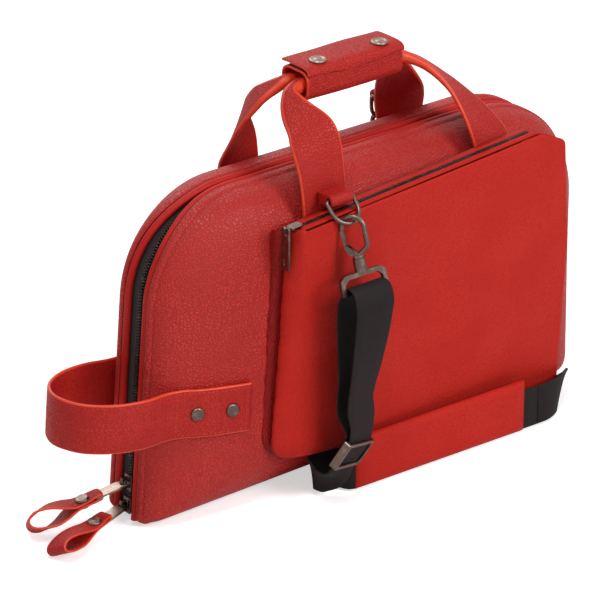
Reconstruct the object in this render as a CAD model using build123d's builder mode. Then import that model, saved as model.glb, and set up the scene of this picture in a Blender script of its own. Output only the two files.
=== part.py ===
"""Zip-around leather carry case: two padded half shells hinged along the base, a gusseted front pocket,
twin carry handles with a snap-shut grip wrap, a riveted end handle and a hooked shoulder strap.

Millimetres. X runs along the case, Y from front (-) to back (+), Z up from the surface that it stands on.
"""

from math import acos, cos, radians, sin, tan
import os

from build123d import *

os.makedirs("parts", exist_ok=True)

# ---------------------------------------------------------------- driving dimensions
case_length = 474.0        # outline along the base
case_height = 277.4        # base line to crown
base_z = 2.6               # base line above the ground, for the strap that passes under
left_lean, right_lean = 5.0, 0.8
crown_radius = 92.0
base_radius = 8.0
rim_y = 16.0               # each shell's rim, measured from the mid-plane
tray_depth = 42.0          # rim to face
round_left, round_right, round_top, round_base = 130.0, 60.0, 60.0, 65.0
leather = 2.0
padding = 9.0
lining = 1.0
cavity_depth = 33.0
seat = 0.3                 # clearance between pieces that touch through soft leather

runner_x, runner_y = -15.0, -5.0     # wear strip that the case stands on
runner_length, runner_width = 350.0, 12.0

piping_radius = 3.4
piping_y = 12.5
piping_inset = 2.4
tape_inset, tape_thickness = 5.9, 0.8
coil_height, coil_width, chain_gap = 1.6, 2.2, 1.6
zip_foot = 5.0             # height at which the zip starts above the ground

strap_width, strap_thickness = 45.0, 3.2
leg_foot, leg_top = 206.0, 250.0
grip_length, grip_width, grip_height, grip_wall = 102.0, 36.0, 27.0, 2.5
grip_x, grip_top = -3.0, 361.0
flap_thickness = 2.5
snap_radius, snap_height, stud_height = 7.5, 2.5, 1.0

end_width, end_thickness, end_z = 44.0, 3.0, 108.0
rivet_radius, rivet_height = 6.0, 2.2

webbing_width, webbing_thickness = 38.0, 1.8
wire = 1.75                # D-ring wire radius
ring_width = 27.0
hook_wire, hook_bow = 2.1, 9.5

pocket_wall = 2.2
pad_length, pad_height, pad_thickness = 184.0, 50.0, 9.0

left_x, right_x = -case_length / 2, case_length / 2
crown_z = base_z + case_height
face_y = rim_y + tray_depth


# ---------------------------------------------------------------- shared outline and frames
def wall_x(side, inset, z):
    """X of the leaning end wall at height z; side is -1 for the left end and +1 for the right."""
    lean = left_lean if side < 0 else right_lean
    return side * (case_length / 2 - inset - tan(radians(lean)) * (z - base_z))


def case_face(depth, left, right, top, base, crown, corner):
    """The case's side outline at a depth before the mid-plane, each side pulled in by its own inset."""
    low, high = base_z + base, crown_z - top
    points = [
        (wall_x(-1, left, low), low),
        (wall_x(-1, left, high), high),
        (wall_x(1, right, high), high),
        (wall_x(1, right, low), low),
    ]
    with BuildSketch(Plane.XZ.offset(depth)) as outline:
        with BuildLine():
            FilletPolyline(*points, radius=[corner, crown, crown, corner], close=True)
        make_face()
    return outline.sketch


def tray_loft(thickness, mode=Mode.ADD):
    """The domed tray, thinned by thickness on every side but its open rim."""
    sections = []
    for angle in (0, 20, 40, 58, 74, 90):
        swell = 1 - cos(radians(angle))
        section = case_face(
            rim_y + (tray_depth - thickness) * sin(radians(angle)),
            thickness + round_left * swell,
            thickness + round_right * swell,
            thickness + round_top * swell,
            thickness + round_base * swell,
            crown_radius - thickness - 40 * swell,
            base_radius + 30 * swell,
        )
        sections.append(section.face())
    loft(sections, mode=mode)


def cavity_loft(grow, mode=Mode.ADD):
    """The space for the instrument: a straight-walled well that narrows towards its floor."""
    edge = leather + padding - grow
    sections = []
    for depth, share in ((0, 0), (cavity_depth + grow, 1)):
        section = case_face(
            rim_y + depth,
            edge + 62 * share,
            edge + 36 * share,
            edge + 34 * share,
            edge + 38 * share,
            crown_radius - edge - 20 * share,
            base_radius + 10 * share,
        )
        sections.append(section.face())
    loft(sections, ruled=True, mode=mode)


def rim_band(inner, outer, start, length):
    """A band that follows the case's outline between two insets, open along the base."""
    below = -4 * zip_foot
    extrude(case_face(start, outer, outer, outer, below, crown_radius - outer, 1), amount=length)
    cut = case_face(start, inner, inner, inner, below - zip_foot, crown_radius - inner, 1)
    extrude(cut, amount=length, mode=Mode.SUBTRACT)
    with BuildSketch(Plane.XY.offset(zip_foot)) as ground:
        Rectangle(2 * case_length, 4 * rim_y)
    extrude(ground.sketch, amount=-8 * zip_foot, mode=Mode.SUBTRACT)


def blend_values(before, start, end, after, lengths, share):
    """Catmull-Rom value between start and end; lengths are the three spans between the four values."""
    slope_in = (end - before) * (lengths[1] / (lengths[0] + lengths[1]))
    slope_out = (after - start) * (lengths[1] / (lengths[1] + lengths[2]))
    cube, square = share**3, share**2
    return (
        start * (2 * cube - 3 * square + 1) + slope_in * (cube - 2 * square + share)
        + end * (3 * square - 2 * cube) + slope_out * (cube - square)
    )


def smooth_values(values, lengths, steps):
    """The values with steps - 1 eased values put between each pair, lengths apart."""
    ends = [values[0] * 2 - values[1], *values, values[-1] * 2 - values[-2]]
    spans = [lengths[0], *lengths, lengths[-1]]
    eased = []
    for i in range(len(values) - 1):
        eased += [blend_values(*ends[i:i + 4], spans[i:i + 3], j / steps) for j in range(steps)]
    return eased + [values[-1]]


def strap_solid(stations, width, thickness, steps=4):
    """A flat strap through its stations: (centre, the way its width lies[, its own width and thickness])."""
    points = [Vector(*station[0]) for station in stations]
    lengths = [(far - near).length for near, far in zip(points, points[1:])]
    centres = smooth_values(points, lengths, steps)
    sides = smooth_values([Vector(*station[1]).normalized() for station in stations], lengths, steps)
    sizes = [station[2] if len(station) > 2 else (width, thickness) for station in stations]
    spans = smooth_values([Vector(*size, 0) for size in sizes], lengths, steps)
    rings = []
    for i, (centre, side, span) in enumerate(zip(centres, sides, spans)):
        run = (centres[min(i + 1, len(centres) - 1)] - centres[max(i - 1, 0)]).normalized()
        across = (side - run * side.dot(run)).normalized()
        half, rise = across * (span.X / 2), run.cross(across) * (span.Y / 2)
        rings.append([centre + half + rise, centre - half + rise, centre - half - rise, centre + half - rise])
    skin = [Face(Wire.make_polygon(ring)) for ring in (rings[0], rings[-1])]
    for near, far in zip(rings, rings[1:]):
        for j in range(4):
            k = (j + 1) % 4
            if j == 2:      # cut across the same way as the opposite face, so a twist keeps its thickness
                skin.append(Face(Wire.make_polygon([near[j], near[k], far[j]])))
                skin.append(Face(Wire.make_polygon([near[k], far[k], far[j]])))
            else:
                skin.append(Face(Wire.make_polygon([near[j], near[k], far[k]])))
                skin.append(Face(Wire.make_polygon([near[j], far[k], far[j]])))
    add(Solid(Shell(skin)))


def tube(path, radius):
    """A round wire along a path."""
    with BuildSketch(Plane(origin=path @ 0, z_dir=path % 0)) as section:
        Circle(radius)
    sweep(section.sketch, path=path)


# ---------------------------------------------------------------- half shells
with BuildPart() as front_shell:
    tray_loft(0)
    tray_loft(leather, Mode.SUBTRACT)

with BuildPart() as front_padding:
    tray_loft(leather)
    cavity_loft(lining, Mode.SUBTRACT)

with BuildPart() as front_lining:
    cavity_loft(lining)
    cavity_loft(0, Mode.SUBTRACT)

with BuildPart() as back_shell:
    mirror(front_shell.part, about=Plane.XZ)

with BuildPart() as back_padding:
    mirror(front_padding.part, about=Plane.XZ)

with BuildPart() as back_lining:
    mirror(front_lining.part, about=Plane.XZ)

hinge_half = rim_y - seat
with BuildPart() as hinge_strip:
    with BuildSketch(Plane.XY.offset(base_z)):
        Rectangle(case_length - 2 * (piping_radius + piping_inset) - 4, 2 * hinge_half)
    extrude(amount=leather)

with BuildPart() as base_runner:
    with BuildSketch():
        with Locations((runner_x, runner_y)):
            RectangleRounded(runner_length, runner_width, 5)
    extrude(amount=base_z)

# ---------------------------------------------------------------- piping and main zip
with BuildLine(Plane.XZ.offset(piping_y)) as piping_path:
    piping_high = crown_z - piping_inset
    FilletPolyline(
        (wall_x(-1, piping_inset, 0), 0),
        (wall_x(-1, piping_inset, piping_high), piping_high),
        (wall_x(1, piping_inset, piping_high), piping_high),
        (wall_x(1, piping_inset, 0), 0),
        radius=crown_radius - piping_inset,
    )

with BuildPart() as front_piping:
    tube(piping_path.wires()[0], piping_radius)

with BuildPart() as back_piping:
    mirror(front_piping.part, about=Plane.XZ)

with BuildPart() as front_zip_tape:
    rim_band(tape_inset + tape_thickness, tape_inset, chain_gap, rim_y - seat - chain_gap)

with BuildPart() as front_zip_coil:
    rim_band(tape_inset, tape_inset - coil_height, chain_gap / 2, coil_width)

with BuildPart() as back_zip_tape:
    mirror(front_zip_tape.part, about=Plane.XZ)

with BuildPart() as back_zip_coil:
    mirror(front_zip_coil.part, about=Plane.XZ)

# ---------------------------------------------------------------- main zip sliders and their pulls
slider_length, slider_width, slider_plate, slider_play = 14.0, 10.0, 1.4, 0.5
slider_out = tape_inset - coil_height - slider_play      # inset of the outer plate's inner face
slider_in = tape_inset + tape_thickness + slider_play    # inset of the inner plate's outer face
bail_out, bail_span = 4.2, 3.2
slider_heights = {"lower": 13.0, "upper": 34.0}
pull_yaw = {"lower": 16.0, "upper": -16.0}
pull_droop = {"lower": 3.5, "upper": 15.0}
tab_length, tab_width, tab_thickness = 27.0, 11.0, 1.8
loop_length, loop_wide, loop_narrow, loop_thickness = 66.0, 24.0, 15.0, 5.0


def wall_frame(height):
    """Origin on the left end's outline at a height; local X points out, local Y forwards, local Z up the wall."""
    out = (-cos(radians(left_lean)), 0, sin(radians(left_lean)))
    up = (sin(radians(left_lean)), 0, cos(radians(left_lean)))
    return Plane(origin=(wall_x(-1, 0, height), 0, height), x_dir=out, z_dir=up)


def slider_body(height):
    """Two plates joined by a post through the chain, with a bail for the pull."""
    frame = wall_frame(height)
    low = frame.offset(-slider_length / 2)
    with BuildSketch(low) as plates:
        with Locations((-slider_out + slider_plate / 2, 0)):
            RectangleRounded(slider_plate, slider_width, slider_plate / 2.2)
        with Locations((-slider_in - slider_plate / 2, 0)):
            RectangleRounded(slider_plate, slider_width, slider_plate / 2.2)
    extrude(plates.sketch, amount=slider_length)
    with BuildSketch(frame.offset(-slider_length / 4)) as post:
        with Locations((-(slider_out + slider_in) / 2, 0)):
            Rectangle(slider_in - slider_out + slider_plate, chain_gap - 2 * seat)
    extrude(post.sketch, amount=slider_length / 2)
    side = Plane(origin=frame.origin, x_dir=frame.x_dir, z_dir=(0, 1, 0))
    with BuildSketch(side.offset(-bail_span / 2)) as bail:
        with BuildLine():
            foot = -slider_out + slider_plate / 2
            Polyline((foot, -5), (bail_out, -5), (bail_out, 5), (foot, 5), close=True)
        make_face()
        with BuildLine():
            Polyline((foot + 1, -3), (bail_out - 1.6, -3), (bail_out - 1.6, 3), (foot + 1, 3), close=True)
        make_face(mode=Mode.SUBTRACT)
    extrude(bail.sketch, amount=bail_span)


def pull_frame(name):
    """Origin in the bail's eye; local X runs out along the pull, local Z is its upper face."""
    frame = wall_frame(slider_heights[name])
    eye = frame.from_local_coords(Vector(bail_out - 3.0, 0, 0))
    yaw, droop = radians(pull_yaw[name]), radians(pull_droop[name])
    run = (-cos(droop) * cos(yaw), -cos(droop) * sin(yaw), -sin(droop))
    face = (-sin(droop) * cos(yaw), -sin(droop) * sin(yaw), cos(droop))
    return Plane(origin=eye, x_dir=run, z_dir=face)


def pull_tab(name):
    """A stamped tab: an eye round the bail, a waist and a slotted end that carries the leather loop."""
    frame = pull_frame(name)
    with BuildSketch(frame.offset(-tab_thickness / 2)) as blank:
        with Locations((tab_length / 2 + 2.5, 0)):
            RectangleRounded(tab_length - 3, tab_width, 2)
        with Locations((2.6, 0)):
            RectangleRounded(9.2, 8.8, 1.5)
        with Locations((1.6, 0)):
            Rectangle(4.2, bail_span + 2.2, mode=Mode.SUBTRACT)
        with Locations((tab_length - 4.5, 0)):
            RectangleRounded(4.4, tab_width - 4, 1, mode=Mode.SUBTRACT)
    extrude(blank.sketch, amount=tab_thickness)


def pull_loop(name):
    """A doubled leather tongue, narrow at the tab and full at its free end."""
    frame = pull_frame(name)
    start = tab_length - 4.5
    with BuildSketch(frame.offset(-loop_thickness / 2)) as tongue:
        with BuildLine():
            near, far = start - 1.2, start + loop_length
            Polyline(
                (near, -3), (near + 8, -loop_narrow / 2), (far - 10, -loop_wide / 2),
                (far, -loop_wide / 3), (far, loop_wide / 3), (far - 10, loop_wide / 2),
                (near + 8, loop_narrow / 2), (near, 3), close=True,
            )
        make_face()
    extrude(tongue.sketch, amount=loop_thickness)
    with BuildSketch(frame.offset(-tab_thickness / 2 - seat)) as slot:
        with Locations((tab_length / 2 + 1, 0)):
            Rectangle(tab_length + 1, tab_width + 2)
        with Locations((start, 0)):
            RectangleRounded(3.0, tab_width - 5, 0.8, mode=Mode.SUBTRACT)
    extrude(slot.sketch, amount=tab_thickness + 2 * seat, mode=Mode.SUBTRACT)


def pull_rivet(name):
    """A domed rivet through the tongue, with a cap on each face."""
    frame = pull_frame(name)
    for side in (1, -1):
        face = Plane(origin=frame.origin, x_dir=frame.x_dir, z_dir=frame.z_dir * side)
        with BuildSketch(face.offset(loop_thickness / 2)) as cap:
            with Locations((tab_length + 11, 0)):
                Circle(rivet_radius)
        extrude(cap.sketch, amount=rivet_height, taper=12)


with BuildPart() as lower_slider:
    slider_body(slider_heights["lower"])

with BuildPart() as upper_slider:
    slider_body(slider_heights["upper"])

with BuildPart() as lower_pull_tab:
    pull_tab("lower")

with BuildPart() as upper_pull_tab:
    pull_tab("upper")

with BuildPart() as lower_pull_leather:
    pull_loop("lower")

with BuildPart() as upper_pull_leather:
    pull_loop("upper")

with BuildPart() as lower_pull_rivet:
    pull_rivet("lower")

with BuildPart() as upper_pull_rivet:
    pull_rivet("upper")

# ---------------------------------------------------------------- carry handles
leg_y = face_y + seat + strap_thickness / 2
core = (11.5, 12.0)        # a handle folded inside the grip: width by height
grip_left, grip_right = grip_x - grip_length / 2, grip_x + grip_length / 2
core_z = grip_top - grip_height / 2
core_y = 7.3

with BuildPart() as front_handle:
    strap_solid(
        [
            ((-70, -leg_y, leg_foot), (-1, 0, 0)),
            ((-70, -leg_y, 228), (-1, 0, 0)),
            ((-70, -leg_y, leg_top), (-1, 0, 0)),
            ((-71, -57, 290), (-1, 0.1, 0)),
            ((-72, -46, 322), (-0.9, 0.4, 0), (42, 3.4)),
            ((-73, -26, 336.5), (-0.5, 0.85, 0.1), (27, 6)),
            ((grip_left - 13, -core_y - 4, core_z - 2.8), (-0.2, 1, 0.03), (15, 8.5)),
            ((grip_left - 1, -core_y, core_z), (0, 1, 0), core),
            ((grip_left + 8, -core_y, core_z), (0, 1, 0), core),
            ((grip_right - 3, -core_y, core_z), (0, 1, 0), core),
            ((grip_right + 3, -core_y, core_z), (0, 1, 0), core),
            ((grip_right + 10, -core_y - 1.5, core_z - 1.5), (0, 1, 0), (13, 10)),
            ((74, -16, 337), (0.3, 0.9, 0), (22, 7)),
            ((92, -30, 318), (0.65, 0.7, 0), (32, 4)),
            ((106, -46, 292), (0.87, 0.4, 0), (42, 3.4)),
            ((116, -57, 264), (1, 0.1, 0)),
            ((118, -leg_y, 238), (1, 0, 0)),
            ((118, -leg_y, leg_foot), (1, 0, 0)),
        ],
        strap_width,
        strap_thickness,
    )

with BuildPart() as back_handle:
    strap_solid(
        [
            ((-68, leg_y, leg_foot), (1, 0, 0)),
            ((-68, leg_y, 226), (1, 0, 0)),
            ((-68, leg_y, 246), (1, 0, 0)),
            ((-72, 54, 276), (0.95, 0.2, 0)),
            ((-80, 40, 308), (0.7, 0.7, 0), (40, 3.4)),
            ((-76, 21, 334), (0.35, 0.9, 0), (26, 6)),
            ((grip_left - 9, core_y + 2.5, core_z - 2), (0, 1, 0), (14, 9)),
            ((grip_left - 3, core_y, core_z), (0, 1, 0), core),
            ((grip_left + 3, core_y, core_z), (0, 1, 0), core),
            ((grip_right - 3, core_y, core_z), (0, 1, 0), core),
            ((grip_right + 3, core_y, core_z), (0, 1, 0), core),
            ((grip_right + 9, core_y + 2, core_z - 2), (0, 1, 0), (14, 10)),
            ((70, 17, 332), (-0.3, 0.9, 0), (24, 6)),
            ((84, 30, 309), (-0.65, 0.75, 0), (38, 3.4)),
            ((99, 47, 282), (-0.9, 0.4, 0)),
            ((110, 58, 254), (-1, 0.1, 0)),
            ((112, leg_y, 232), (-1, 0, 0)),
            ((112, leg_y, leg_foot), (-1, 0, 0)),
        ],
        strap_width,
        strap_thickness,
    )

grip_plane = Plane.YZ.offset(grip_left)
with BuildPart() as grip_wrap:
    with BuildSketch(grip_plane) as wrap_section:
        with Locations((0, grip_top - grip_height / 2)):
            RectangleRounded(grip_width, grip_height, 9)
            RectangleRounded(grip_width - 2 * grip_wall, grip_height - 2 * grip_wall, 6.5, mode=Mode.SUBTRACT)
    extrude(amount=grip_length)

flap_z = grip_top + stud_height + seat
with BuildPart() as grip_flap:
    with BuildSketch(grip_plane) as flap_section:
        with BuildLine():
            half, lip = grip_width / 2, 6.0
            Polyline(
                (half, flap_z), (-half - seat, flap_z), (-half - seat, flap_z - lip),
                (-half - seat - flap_thickness, flap_z - lip),
                (-half - seat - flap_thickness, flap_z + flap_thickness),
                (half, flap_z + flap_thickness), close=True,
            )
        make_face()
    extrude(amount=grip_length)
    outer = edges().filter_by(Axis.X).group_by(Axis.Z)[-1].sort_by(Axis.Y)[0]
    fillet(outer, 2.2)

snap_spots = [(grip_x - 33, -8), (grip_x + 33, -8)]
with BuildPart() as snap_caps:
    with BuildSketch(Plane.XY.offset(flap_z + flap_thickness)):
        with Locations(*snap_spots):
            Circle(snap_radius)
    extrude(amount=snap_height)
    chamfer(faces().sort_by(Axis.Z)[-2:].edges(), 0.9)

with BuildPart() as snap_studs:
    with BuildSketch(Plane.XY.offset(grip_top)):
        with Locations(*snap_spots):
            Circle(snap_radius * 0.6)
    extrude(amount=stud_height)

# ---------------------------------------------------------------- end handle
patch_inner, patch_outer, loop_reach = 82.0, 23.0, 76.0     # distances from the wall: two inwards, one outwards
rivet_insets = (35.0, 65.0)
end_frame = wall_frame(end_z)


def patch_point(inset, rise=0.0):
    """A point over the shell's outer face at a distance in from the wall, in the wall's own frame."""
    angle = acos(1 - inset / round_left)
    normal = Vector(tray_depth * cos(angle), round_left * sin(angle)).normalized() * rise
    return (normal.X - inset, rim_y + tray_depth * sin(angle) + normal.Y)


patch_lift = 0.9 + end_thickness / 2
patch_line = [patch_point(patch_inner + (patch_outer - patch_inner) * i / 5, patch_lift) for i in range(6)]
loop_line = [(-6, 40.5), (16, 43), (44, 38), (66, 23), (loop_reach - end_thickness / 2, 0)]
front_line = patch_line + loop_line
end_line = front_line + [(u, -v) for u, v in reversed(front_line[:-1])]

with BuildPart() as end_handle:
    strap_solid(
        [(tuple(end_frame.from_local_coords(Vector(u, v, 0))), tuple(end_frame.z_dir)) for u, v in end_line],
        end_width,
        end_thickness,
    )

with BuildPart() as front_rivets:
    for rivet_inset in rivet_insets:
        seat_point = end_frame.from_local_coords(Vector(*patch_point(rivet_inset, patch_lift + end_thickness / 2 + seat), 0))
        cap_point = end_frame.from_local_coords(Vector(*patch_point(rivet_inset, patch_lift + end_thickness / 2 + 1), 0))
        with BuildSketch(Plane(origin=seat_point, z_dir=cap_point - seat_point)):
            Circle(rivet_radius)
        extrude(amount=rivet_height, taper=12)

with BuildPart() as back_rivets:
    mirror(front_rivets.part, about=Plane.XZ)

# ---------------------------------------------------------------- front pocket
pocket_tilt = 0.045        # the panel leans out towards its top
panel_y, panel_ref = -72.0, 35.0
panel_plane = Plane(origin=(0, panel_y, panel_ref), x_dir=(1, 0, 0), z_dir=(0, -1, -pocket_tilt))
zip_left, zip_right = (-110.0, 257.0), (148.0, 276.0)
panel_outline = [zip_left, (-79, 46), (184, 22), (186, 160), (175, 263), zip_right]
panel_radii = [3, 16, 10, 60, 8, 4]
base_outline = [(-118, 246), (-133, 52), (187, 30), (190, 150), (186, 235), (150, 246)]
base_radii = [3, 26, 16, 60, 12, 6]


def pocket_loft(shrink, mode=Mode.ADD):
    """The pocket's bulk between the shell and the back of its panel; shrink takes its side walls off."""
    def inset(points, step):
        mid_x = sum(p[0] for p in points) / len(points)
        return [(x + (step if x < mid_x else -step), z + (step if z < 150 else 3 * step)) for x, z in points]

    with BuildSketch(Plane.XZ.offset(rim_y + 26)) as mouth:
        with BuildLine():
            FilletPolyline(*inset(base_outline, shrink), radius=base_radii, close=True)
        make_face()
    with BuildSketch(panel_plane.offset(-pocket_wall - seat / 3)) as front:
        with BuildLine():
            local = [(x, z - panel_ref) for x, z in inset(panel_outline, shrink)]
            FilletPolyline(*local, radius=panel_radii, close=True)
        make_face()
    loft([mouth.sketch.face(), front.sketch.face()], ruled=True, mode=mode)


with BuildPart() as pocket_gusset:
    pocket_loft(0)
    pocket_loft(pocket_wall, Mode.SUBTRACT)
    tray_loft(-seat, Mode.SUBTRACT)

with BuildPart() as pocket_panel:
    with BuildSketch(panel_plane.offset(-pocket_wall)):
        with BuildLine():
            FilletPolyline(*[(x, z - panel_ref) for x, z in panel_outline], radius=panel_radii, close=True)
        make_face()
    extrude(amount=pocket_wall)

zip_run = Vector(zip_right[0] - zip_left[0], 0, zip_right[1] - zip_left[1])
zip_rise = Vector(-zip_run.Z, 0, zip_run.X).normalized()
pocket_zip_y = -71.0
pocket_zip = Plane(origin=(zip_left[0], pocket_zip_y, zip_left[1]), x_dir=zip_run, z_dir=zip_rise)
with BuildPart() as pocket_zip_tape:
    with BuildSketch(pocket_zip.offset(-tape_thickness - 0.6)):
        with Locations((zip_run.length / 2, 0)):
            Rectangle(zip_run.length - 10, 15.6)
    extrude(amount=tape_thickness)
    with BuildSketch(pocket_zip.offset(-12)):
        with Locations((zip_run.length / 2, 8.4)):
            Rectangle(zip_run.length - 10, 0.8)
    extrude(amount=12 - 0.6)

with BuildPart() as pocket_zip_coil:
    with BuildSketch(pocket_zip.offset(-0.6)):
        with Locations((zip_run.length / 2, 0)):
            Rectangle(zip_run.length - 12, 4.4)
    extrude(amount=coil_height)

pocket_slider_x, pull_reach = 0.0, 9.2
pull_length, pull_width, pull_thickness = 38.0, 9.0, 1.6
slider_mid = coil_height - 0.6 + seat + 0.7
pull_pin = pocket_zip.from_local_coords(Vector(pocket_slider_x - pull_reach, 0, slider_mid))
with BuildPart() as pocket_slider:
    with BuildSketch(pocket_zip.offset(slider_mid - 0.7)) as slider_top:
        with Locations((pocket_slider_x, 0)):
            RectangleRounded(12, 9, 3)
    extrude(amount=1.4)
    with BuildSketch(Plane(origin=pull_pin - Vector(0, 1.5, 0), x_dir=(1, 0, 0), z_dir=(0, 1, 0))) as lug:
        Circle(2.0)
        with Locations((2.6, 0)):
            Rectangle(5.2, 1.4)
        Circle(1.1, mode=Mode.SUBTRACT)
    extrude(lug.sketch, amount=3)

with BuildPart() as pocket_pull:
    with BuildSketch(Plane(origin=pull_pin + Vector(0.8, 0, 0), x_dir=(0, 1, 0), z_dir=(-1, 0, 0))) as pull_blank:
        with Locations((0, pull_length / 2 - 1.8)):
            RectangleRounded(pull_width, pull_length, 1.6)
        with Locations((0, 1.2)):
            Rectangle(3.8, 8.0, mode=Mode.SUBTRACT)
        with Locations((0, pull_length - 9)):
            RectangleRounded(4.4, 8, 1.2, mode=Mode.SUBTRACT)
    extrude(amount=pull_thickness)
    with BuildSketch(Plane(origin=pull_pin - Vector(0, 3.5, 0), x_dir=(1, 0, 0), z_dir=(0, 1, 0))):
        Circle(0.7)
    extrude(amount=7)

# ---------------------------------------------------------------- D-rings, swivel hooks
front_bar = Vector(-67.0, -75.0, 273.0)
front_drop = Vector(0.0, -16.0, -16.2)
front_hang = Vector(0.0, -0.317, -0.948)   # the stiff strap pushes the front hook outwards
back_bar = Vector(102.0, 71.8, 277.0)
back_drop = Vector(0.0, 0.0, -22.8)
back_hang = Vector(0.0, 0.0, -1.0)
front_turn, back_turn = -50.0, -50.0       # each bow stands across its ring's wire
roll_radius, roll_hole, roll_width = 5.4, 2.3, 23.0


def ring_path(bar, drop):
    """Closed D: the straight bar in the tab and a squared bow below it."""
    plane = Plane(origin=bar, x_dir=(1, 0, 0), z_dir=Vector(1, 0, 0).cross(drop))
    half, reach = ring_width / 2, drop.length
    with BuildLine(plane) as path:
        FilletPolyline((0, 0), (half, 0), (half, reach - half), radius=2.6)
        ThreePointArc((half, reach - half), (0, reach), (-half, reach - half))
        FilletPolyline((-half, reach - half), (-half, 0), (0, 0), radius=2.6)
    return path.wires()[0]


def ring_tab(bar, side):
    """A leather loop rolled round the ring's bar, with a tail sewn to the handle's leg."""
    tail = side * (leg_y + strap_thickness / 2 + seat)
    with BuildSketch(Plane.YZ.offset(bar.X - roll_width / 2)) as profile:
        with BuildLine():
            Polyline(
                (tail, bar.Z - 11), (tail + side * 2.4, bar.Z - 11), (tail + side * 2.4, bar.Z - roll_radius),
                (bar.Y, bar.Z - roll_radius), (bar.Y, bar.Z + roll_radius), (tail, bar.Z + roll_radius - 1), close=True,
            )
        make_face()
        with Locations((bar.Y, bar.Z)):
            Circle(roll_radius)
            Circle(roll_hole, mode=Mode.SUBTRACT)
    extrude(profile.sketch, amount=roll_width)


def hook_frame(top, hang):
    """Frame on the hook's axis: origin on the ring's wire, local Z up the axis, local X near the world's."""
    up = hang.normalized() * -1
    return Plane(origin=top, x_dir=Vector(1, 0, 0) - up * up.X, z_dir=up)


def hook_plane(frame, turn):
    """Plane through the hook's axis; local Y runs up it and the plane is turned about it from the front."""
    angle = radians(turn)
    normal = frame.y_dir * -cos(angle) + frame.x_dir * sin(angle)
    return Plane(origin=frame.origin, x_dir=frame.x_dir * cos(angle) + frame.y_dir * sin(angle), z_dir=normal)


bow_z = -(hook_bow - hook_wire - wire - 1.2)     # bow centre below the ring's wire
gate_slant = 1.1                                # the gate tip clears the bow as it swings in
collar_z, barrel_top, barrel_foot, eye_z = -28.0, -29.8, -40.5, -55.5


def hook_eye(frame):
    """Swivel barrel with shoulders that spread to the bar for the webbing."""
    half = webbing_width / 2 + 1
    rod = 1.9
    with BuildSketch(hook_plane(frame, 0).offset(-rod)) as yoke:
        for grow, mode in ((rod, Mode.ADD), (-rod, Mode.SUBTRACT)):
            with BuildLine():
                wide, low, high = half + rod + grow, eye_z - grow, barrel_foot - 2 + grow
                FilletPolyline(
                    (wide, low), (wide, high - 4), (wide - 5, high), (5 - wide, high), (-wide, high - 4), (-wide, low),
                    radius=1.8, close=True,
                )
            make_face(mode=mode)
    extrude(yoke.sketch, amount=2 * rod)
    with BuildSketch(frame.offset(barrel_foot - 2)) as barrel:
        Circle(5.2)
    extrude(barrel.sketch, amount=barrel_top - barrel_foot + 2)
    with BuildSketch(frame.offset(barrel_top - 7)) as bore:
        Circle(2.8)
    extrude(bore.sketch, amount=7, mode=Mode.SUBTRACT)


def hook_body(frame, turn):
    """The bow, open on its left side for the gate, on a collar and a swivel pin."""
    plane = hook_plane(frame, turn)
    with BuildSketch(frame.offset(barrel_top - 6.6)) as pin:
        Circle(2.45)
    extrude(pin.sketch, amount=collar_z - barrel_top + 6.6)
    with BuildSketch(frame.offset(barrel_top + seat)) as collar:
        Circle(4.4)
    extrude(collar.sketch, amount=collar_z - barrel_top - seat + 1)
    with BuildLine(plane) as bow:
        FilletPolyline((0, collar_z), (hook_bow, collar_z + 7), (hook_bow, bow_z), radius=5)
        ThreePointArc((hook_bow, bow_z), (0, bow_z + hook_bow), (-hook_bow, bow_z))
    path = bow.wires()[0]
    with BuildSketch(Plane(origin=path @ 0, z_dir=path % 0)) as section:
        Circle(hook_wire)
    sweep(section.sketch, path=path)
    with BuildSketch(plane.offset(-hook_wire)) as lug:
        with Locations((-4.5, collar_z + 4)):
            Circle(3.0)
        with Locations((-1.8, collar_z + 2.6)):
            Rectangle(4.6, 4.6)
        with Locations((-4.5, collar_z + 4)):
            Circle(1.0, mode=Mode.SUBTRACT)
    extrude(lug.sketch, amount=2 * hook_wire)


def hook_gate(frame, turn):
    """The sprung lever that closes the bow, on its own pin."""
    plane = hook_plane(frame, turn)
    pivot = (-4.5, collar_z + 4)
    with BuildSketch(plane.offset(-1.2)) as lever:
        with BuildLine():
            foot = (pivot[0] - 3.6, pivot[1] + 3.2)
            tip = (-hook_bow, bow_z - 0.6)
            Polyline(
                (foot[0] - 1.2, foot[1]), (foot[0] + 1.4, foot[1]), (tip[0] + 1.6, tip[1]), (tip[0] + 0.4, tip[1]),
                (tip[0] - 1.6, tip[1] - gate_slant), close=True,
            )
        make_face()
    extrude(lever.sketch, amount=2.4)
    for start in (-hook_wire - seat - 1.0, hook_wire + seat):
        with BuildSketch(plane.offset(start)) as cheek:
            with BuildLine():
                Polyline(
                    (pivot[0] - 2.4, pivot[1] - 2), (pivot[0] + 2, pivot[1] - 2), (pivot[0] + 1.4, pivot[1] + 2.4),
                    (foot[0] + 1.4, foot[1] + 2.5), (foot[0] - 1.4, foot[1] + 2.5), close=True,
                )
            make_face()
        extrude(cheek.sketch, amount=1.0)
    with BuildSketch(plane.offset(-hook_wire - seat - 1.0)) as bridge:
        with Locations(pivot):
            Circle(0.7)
        with Locations((foot[0], foot[1] + 1.3)):
            Rectangle(2.4, 2.4)
    extrude(bridge.sketch, amount=2 * (hook_wire + seat + 1.0))


front_hook_frame = hook_frame(front_bar + front_drop, front_hang)
back_hook_frame = hook_frame(back_bar + back_drop, back_hang)

with BuildPart() as front_ring_tab:
    ring_tab(front_bar, -1)

with BuildPart() as back_ring_tab:
    ring_tab(back_bar, 1)

with BuildPart() as front_ring:
    tube(ring_path(front_bar, front_drop), wire)

with BuildPart() as back_ring:
    tube(ring_path(back_bar, back_drop), wire)

with BuildPart() as front_hook_eye:
    hook_eye(front_hook_frame)

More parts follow.
